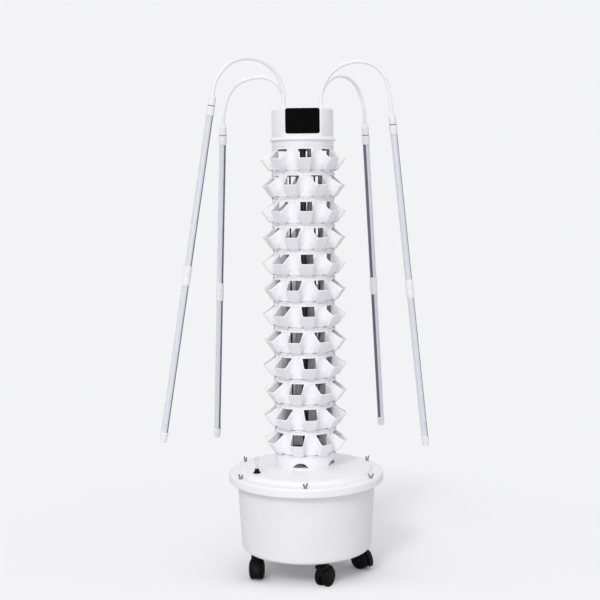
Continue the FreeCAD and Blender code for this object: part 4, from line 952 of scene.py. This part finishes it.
class PLANTER_OT_controller(bpy.types.Operator):
    """Make the controller: skirt, housing, screen and arm sockets"""
    bl_idname = "planter.controller"
    bl_label = "Controller"

    def execute(self, context):
        finishes = stock(context)
        for make, node in ((make_skirt, "controller_base"), (make_housing, "controller_housing")):
            settled(make(context), finishes["white"], TOWER, "white_plastic", [node], 30)
        front = (node_low("display_panel") / MM).y
        glass = screen_block("touch_screen", 0, front, front + 6.0,
                             settings(context, "controller").screen_round / MM)
        settled(bevelled(glass, 1.0, 3, 50), finishes["screen"], TOWER, "screen",
                ["display_panel"], 15)
        sockets = []
        mouth = heights("arm_sockets")[1]
        base, bore = mouth - 12.0, 7.1
        for number in range(1, 5):
            spot = joint_spot(f"arm_turn_{number}") / MM
            collar = turned("collar", [
                (bore, base - 0.5), (11.0, base - 0.5, 0.4), (11.0, base + 3, 1.0),
                (9.6, base + 5, 1.5), (9.2, mouth, 1.6), (bore, mouth, 0.4)], 4, 48)
            sockets.append(moved(collar, shift(spot.x, spot.y)))
        settled(joined("arm_collars", sockets), finishes["white"], TOWER, "white_plastic",
                ["arm_sockets"])
        return {"FINISHED"}


# Lamps.

def lamp_place(number):
    """The matrix that stands a shape's +Z on a lamp's axis, with its zero at the seam."""
    axis = joint_axis(f"lamp_turn_{number}")
    turn = Vector((0, 0, 1)).rotation_difference(axis).to_matrix().to_4x4()
    return Matrix.Translation(joint_spot(f"lamp_turn_{number}")) @ turn


def tube_stretches():
    """Heights of the two light tubes below the seam, as pairs of high and low."""
    holder, tube = 36.0, 552.0
    return ((-holder, -holder - tube), (-holder * 3 - tube, -holder * 3 - tube * 2))


def make_lamp_cover(radius, open_half, high, low):
    """A frosted cover round most of a tube, open where the strip lies."""
    wall, grip = 1.2, 1
    outer = arc(radius, open_half, 2 * pi - open_half, 40)
    inner = [(x * (radius - wall) / radius, y * (radius - wall) / radius) for x, y in outer[::-1]]
    return along_z("cover", outer + inner, low - grip, high + grip)


def make_lamp_strip(radius, open_half, high, low):
    """The dark strip that closes a tube's back: rounded outside and flat inside. It is turned to
    the tube's side away from the key light, so its darkness is partly painted shade.
    """
    sunk, grip = 0.35, 1
    back_x, back_y = radius * 0.5, (radius - 2.5) * sin(open_half)
    outline = arc(radius - sunk, -open_half, open_half, 12) + [(back_x, back_y), (back_x, -back_y)]
    return along_z("strip", outline, low - grip, high + grip)


def make_lamp_fittings(name, sizes):
    """Holder, joiner and end cap round a lamp's axis."""
    holder_r, tube_r = sizes.holder_radius / MM, sizes.tube_radius / MM
    (high_1, low_1), (high_2, low_2) = tube_stretches()
    grip, gap, middle, end = 12.0, 0.4, (low_1 + high_2) / 2, low_2 - 38.0
    return joined(name, [
        turned("holder", [(0, -1.2), (holder_r - 0.6, -1.2, 0.6), (holder_r, -3.0, 1.0),
                          (holder_r, high_1, 1.2), (tube_r, high_1, 0.3), (tube_r, high_1 + grip),
                          (0, high_1 + grip)]),
        rod("joiner", holder_r, low_1, middle + gap, 64, 1.2),
        rod("joiner", holder_r, middle - gap, high_2, 64, 1.2),
        rod("joint_core", holder_r - 1.4, middle - 1, middle + 1, 48),
        turned("end_cap", [(0, low_2), (holder_r, low_2, 1.0), (holder_r, low_2 - 4, 3.0),
                           (11.8, end, 2.4), (0, end)], 5)])


class PLANTER_OT_lamps(bpy.types.Operator):
    """Make the four lamps with their holders and light tubes"""
    bl_idname = "planter.lamps"
    bl_label = "Lamps"

    def execute(self, context):
        finishes = stock(context)
        sizes = settings(context, "lamps")
        tube_r, open_half = sizes.tube_radius / MM, radians(52)
        for number in range(1, 5):
            body, place = f"lamp_{number}", lamp_place(number)
            fittings = make_lamp_fittings(f"{body}_holders", sizes)
            seam = rod(f"{body}_seam", 13.6, -1.9, 1.7, 48)
            for piece, finish in ((fittings, "sleeve"), (seam, "rubber")):
                settled(moved(piece, place), finishes[finish], body, "lamp_fitting",
                        [f"lamp_fittings_{number}"])
            # Turn the dark strip to the tube's side away from the key light, where it also paints
            # the tube's shade.
            place = place @ Matrix.Rotation(getattr(sizes, f"strip_{number}"), 4, "Z")
            for name, make, finish in (("cover", make_lamp_cover, "tube"),
                                       ("strip", make_lamp_strip, "strip")):
                piece = joined(f"{body}_{name}", [make(tube_r, open_half, high, low)
                                                  for high, low in tube_stretches()])
                settled(moved(piece, place), finishes[finish], body, "light_tube",
                        [f"lamp_tubes_{number}"])
        return {"FINISHED"}


class PLANTER_OT_arms(bpy.types.Operator):
    """Make the four curved arms and the sleeves at their ends"""
    bl_idname = "planter.arms"
    bl_label = "Light Arms"

    def execute(self, context):
        finishes = stock(context)
        for number in range(1, 5):
            node = f"light_arm_{number}"
            hose = cad_copy(f"curved_arm_{number}", node)
            sleeve = turned(f"arm_sleeve_{number}", [
                (0, 1.1), (13.4, 1.1, 0.6), (14.2, 2.0, 1.0), (14.2, 32.0, 2.0),
                (11.0, 35.0, 2.0), (9.6, 42.0, 1.5), (0, 42.0)])
            moved(sleeve, lamp_place(number))
            for piece, finish in ((hose, "arm"), (sleeve, "sleeve")):
                settled(piece, finishes[finish], f"arm_{number}", "arm_white", [node])
        return {"FINISHED"}


def caster_frame(number):
    """The matrix of a caster's own axes: zero on its axle, +X to its rear, Y along the axle."""
    along = joint_axis(f"wheel_spin_{number}")
    up = Vector((0, 0, 1))
    turn = Matrix((along.cross(up), along, up)).transposed().to_4x4()
    return Matrix.Translation(joint_spot(f"wheel_spin_{number}")) @ turn


def on_axle(piece, side=1):
    """Turn a shape made round Z so that it lies round the axle, its +Z to one side."""
    return moved(piece, Matrix.Rotation(radians(-90 * side), 4, "X"))


def arc_bar(name, first, last, near, rise, half_width, thick):
    """A bar bent about the axle between two angles; its inner radius grows from near by rise."""
    loops = []
    steps = 24
    for step in range(steps + 1):
        share = step / steps
        turn = radians(first + (last - first) * share)
        low = near + rise * share
        high = low + thick
        section = rounded([(-half_width, low, 0.4), (half_width, low, 0.4),
                           (half_width, high, 1.4), (-half_width, high, 1.4)], 3)
        loops.append([(radius * cos(turn), y, radius * sin(turn))
                      for y, radius in section])
    return loft(name, loops)


def make_caster_wheels(sizes):
    """Two domed wheels and the axle between them."""
    radius, gap, edge, tread, dome, steps = sizes.wheel_radius / MM, 6.6, 1.5, 20.0, 31.0, 15
    profile = [(0, gap), (radius - edge, gap), (radius, gap + edge)]
    for step in range(steps):
        turn = pi / 2 * step / steps
        profile.append((radius * cos(turn) ** 0.8, tread + (dome - tread) * sin(turn)))
    profile.append((0, dome))
    pieces = [on_axle(lathe("wheel", profile, 72), side) for side in (1, -1)]
    return joined("twin_wheels", pieces + [on_axle(rod("axle", 4, -gap - 1, gap + 1, 32))])


def make_caster_hood(sizes):
    """The web between the wheels, the strip over them, the swivel's boss and the top cover."""
    inner = sizes.wheel_radius / MM + 2.0
    first, last, swivel, boss_r, low, high = 44.0, 165.0, -30.0, 12, 8.2, 48.2
    strip = arc_bar("hood_strip", first, last, inner, 0.0, 13.0, 3.5)
    web = along_y("hood_web", arc(inner + 1, radians(first), radians(last), 24)
                  + arc(-boss_r, radians(-10), radians(170), 9), -5.6, 5.6)
    boss = moved(turned("hood_boss", [(0, low), (boss_r, low, 2), (boss_r, high, 1), (0, high)],
                        4, 48), shift(x=swivel))
    cover = loft("hood_cover", [
        raised(rounded_box((-44 + inset, -22 + inset), (7 - inset, 22 - inset), 11.0, 8), level)
        for inset, level in ((2.0, 36.0), (0.4, 37.2), (0.0, 39.0), (0.0, high - 4),
                             (1.2, high - 1.2), (4.0, high))])
    for piece in (boss, cover):
        carved(piece, [on_axle(rod("wheel_room", inner, 6.2, 60, 72), side) for side in (1, -1)])
    return joined("twin_hood", [strip, web, boss, cover])


def make_caster_pedal(sizes):
    """A brake pedal bent round the wheels' rear, standing off more towards its toe."""
    near, stand_off, half_width = sizes.wheel_radius / MM + 3.6, 7.5, 12.5
    lever = arc_bar("lever", 36.0, -26.0, near, stand_off, half_width, 3.0)
    hinge = joint_spot("pedal_press_1") - joint_spot("wheel_spin_1")
    rear = joint_axis("wheel_spin_1").cross(Vector((0, 0, 1)))
    barrel = on_axle(rod("barrel", 3.5, -half_width, half_width, 32, 0.6, 3))
    moved(barrel, shift(x=hinge.dot(rear) / MM, z=hinge.z / MM))
    return joined("twin_pedal", [lever, barrel])


class PLANTER_OT_casters(bpy.types.Operator):
    """Make the casters' hoods, wheels and pedals"""
    bl_idname = "planter.casters"
    bl_label = "Casters"

    def execute(self, context):
        finishes = stock(context)
        for part, make, body, slot, finish in (
                ("hood", make_caster_hood, "caster", "black_plastic", "nylon"),
                ("pedal", make_caster_pedal, "pedal", "black_plastic", "nylon"),
                ("wheels", make_caster_wheels, "wheels", "caster_tyre", "tread")):
            master = make(settings(context, "casters"))
            for number in range(1, 5):
                piece = link_object(f"twin_{part}_{number}", master.data.copy())
                settled(moved(piece, caster_frame(number)), finishes[finish],
                        f"{body}_{number}", slot, [f"caster_{part}_{number}"])
            bpy.data.objects.remove(master)
        return {"FINISHED"}


class PLANTER_OT_carried(bpy.types.Operator):
    """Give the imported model's own pieces their finishes"""
    bl_idname = "planter.carried"
    bl_label = "Carried Pieces"

    def execute(self, context):
        finishes = stock(context)
        for finish, nodes in (
                ("pipe", ("riser_pipe", "pump_lead", "sensor_lead", "lead_clips", "pump_body",
                          "pump_strainer", "pump_impeller", "power_inlet")),
                ("nylon", ("caster_plates",)),
                ("rubber", ("lid_seal",)),
                ("white", ("spray_disc",)),
                ("clear", ("gauge_float",)),
                ("board", ("controller_board",))):
            for node in nodes:
                for slot in frame["nodes"][node].material_slots:
                    slot.material = finishes[finish]
        return {"FINISHED"}


# Stage.

def camera_matrix():
    """The photograph's viewpoint: 4.2 m in front, 1.46 m up, tipped 5.2 degrees down."""
    yaw, pitch, roll = -0.0039, 0.0916, -0.0107
    side = Vector((cos(yaw), -sin(yaw), 0))
    ahead = Vector((sin(yaw) * cos(pitch), cos(yaw) * cos(pitch),
                    -sin(pitch)))
    up = side.cross(ahead)
    right = side * cos(roll) + up * sin(roll)
    top = up * cos(roll) - side * sin(roll)
    turn = Matrix((right, top, -ahead)).transposed().to_4x4()
    return Matrix.Translation((0, -4.2054, 1.4552)) @ turn


class PLANTER_OT_stage(bpy.types.Operator):
    """Set up the floor, the lights and the camera"""
    bl_idname = "planter.stage"
    bl_label = "Stage"

    def execute(self, context):
        scene = context.scene
        sizes = settings(context, "stage")
        focal_pixels, picture_pixels = 1099.18, 600
        lens = bpy.data.cameras.new("photo_camera")
        lens.sensor_width = 36.0
        lens.lens = focal_pixels * lens.sensor_width / picture_pixels
        scene.camera = link_object("photo_camera", lens)
        scene.camera.matrix_world = camera_matrix()
        self.lamps(sizes)
        self.sky(scene, sizes)
        self.floor(sizes)
        scene.view_settings.view_transform = "Standard"
        return {"FINISHED"}

    def lamps(self, sizes):
        """A soft key from the front left and a round panel just behind the camera."""
        sun = bpy.data.lights.new("key", "SUN")
        sun.energy = sizes.key
        sun.angle = radians(15)
        panel = bpy.data.lights.new("front_panel", "AREA")
        panel.shape = "DISK"
        panel.size = 0.8
        panel.energy = sizes.front
        place = Vector((-0.12, -4.35, 1.38))
        for lamp, spot, way in ((sun, Vector(), Vector((-0.36, -1.0, 0.8))),
                                (panel, place, place - Vector((0, 0, 1.1)))):
            light = link_object(lamp.name, lamp)
            light.location = spot
            light.rotation_euler = way.to_track_quat("Z", "Y").to_euler()

    def sky(self, scene, sizes):
        """An even light, strongest overhead; the camera and reflections see the backdrop."""
        world = bpy.data.worlds.new("studio")
        world.use_nodes = True
        scene.world = world
        tree = world.node_tree
        tree.nodes.clear()
        path = add_node(tree, "ShaderNodeLightPath").outputs
        either = add_node(tree, "ShaderNodeMath", {
            0: path["Is Camera Ray"], 1: path["Is Glossy Ray"]}, operation="MAXIMUM")
        seen = add_node(tree, "ShaderNodeMath", {
            0: either, 1: path["Is Transmission Ray"]}, operation="MAXIMUM")
        way = add_node(tree, "ShaderNodeTexCoord").outputs["Generated"]
        height = add_node(tree, "ShaderNodeSeparateXYZ", {"Vector": way}).outputs["Z"]
        level = add_node(tree, "ShaderNodeMapRange", {
            "Value": height, "To Min": sizes.level, "To Max": sizes.overhead})
        sky = add_node(tree, "ShaderNodeBackground", {"Color": srgb("F7F7F9"), "Strength": level})
        back = add_node(tree, "ShaderNodeBackground", {
            "Color": srgb(sizes.backdrop), "Strength": 1.0})
        mix = add_node(tree, "ShaderNodeMixShader", {"Fac": seen, 1: sky, 2: back})
        add_node(tree, "ShaderNodeOutputWorld", {"Surface": mix})

    def floor(self, sizes):
        """A pale floor that takes the backdrop's own colour far off and in front of the tank. In
        front of the tank this glow is painted light over the tank's shadow.
        """
        reach = 9000
        floor = from_shape("floor", [(-reach, -reach, 0), (reach, -reach, 0), (reach, reach, 0),
                                     (-reach, reach, 0)], [(0, 1, 2, 3)])
        material, tree, surface = new_material("matt paper backdrop")
        place = add_node(tree, "ShaderNodeTexCoord").outputs["Object"]
        away = add_node(tree, "ShaderNodeVectorMath", {"Vector": place}, operation="LENGTH")
        depth = add_node(tree, "ShaderNodeSeparateXYZ", {"Vector": place})
        far = add_node(tree, "ShaderNodeMapRange", {
            "Value": away.outputs["Value"], "From Min": 0.9, "From Max": 1.9},
            interpolation_type="SMOOTHSTEP")
        # Painted light: in front of the tank the floor glows with the backdrop's colour, over the
        # tank's shadow there.
        near = add_node(tree, "ShaderNodeMapRange", {
            "Value": depth.outputs["Y"], "From Min": -0.07, "From Max": -0.27, "To Max": 0.9},
            interpolation_type="SMOOTHSTEP")
        pale = add_node(tree, "ShaderNodeMath", {0: far, 1: near}, operation="MAXIMUM")
        seen = add_node(tree, "ShaderNodeLightPath").outputs["Is Camera Ray"]
        share = add_node(tree, "ShaderNodeMath", {0: pale, 1: seen}, operation="MULTIPLY")
        sheet = add_node(tree, "ShaderNodeMix", {0: seen, 6: srgb("DCDCDE"), 7: srgb("F7F7F9")},
                         data_type="RGBA")
        paper = add_node(tree, "ShaderNodeBsdfDiffuse", {"Color": sheet.outputs[2]})
        glow = add_node(tree, "ShaderNodeEmission", {"Color": srgb(sizes.backdrop)})
        mix = add_node(tree, "ShaderNodeMixShader", {"Fac": share, 1: paper, 2: glow})
        tree.links.new(mix.outputs[0], surface)
        floor.data.materials.append(material)


STEPS = (PLANTER_OT_rings, PLANTER_OT_column, PLANTER_OT_tank, PLANTER_OT_gauge,
         PLANTER_OT_controller, PLANTER_OT_arms, PLANTER_OT_lamps, PLANTER_OT_casters,
         PLANTER_OT_carried, PLANTER_OT_stage)


class PLANTER_PT_panel(bpy.types.Panel):
    """The tower's settings and makers"""
    bl_label = "Planter Tower"
    bl_idname = "PLANTER_PT_panel"
    bl_space_type = "VIEW_3D"
    bl_region_type = "UI"
    bl_category = "Planter Tower"

    def draw(self, context):
        for name, group in SETTINGS.items():
            box = self.layout.box()
            box.label(text=name.title())
            for prop in group.__annotations__:
                box.prop(settings(context, name), prop)
        for step in STEPS:
            self.layout.operator(step.bl_idname)


def register():
    for group in (*SETTINGS.values(), *STEPS, PLANTER_PT_panel):
        bpy.utils.register_class(group)
    for name, group in SETTINGS.items():
        setattr(bpy.types.Scene, f"planter_{name}", PointerProperty(type=group))


def unregister():
    for name in SETTINGS:
        delattr(bpy.types.Scene, f"planter_{name}")
    for group in reversed((*SETTINGS.values(), *STEPS, PLANTER_PT_panel)):
        bpy.utils.unregister_class(group)


def main():
    register()
    for step in STEPS:
        area, name = step.bl_idname.split(".")
        getattr(getattr(bpy.ops, area), name)()


if __name__ == "__main__":
    main()
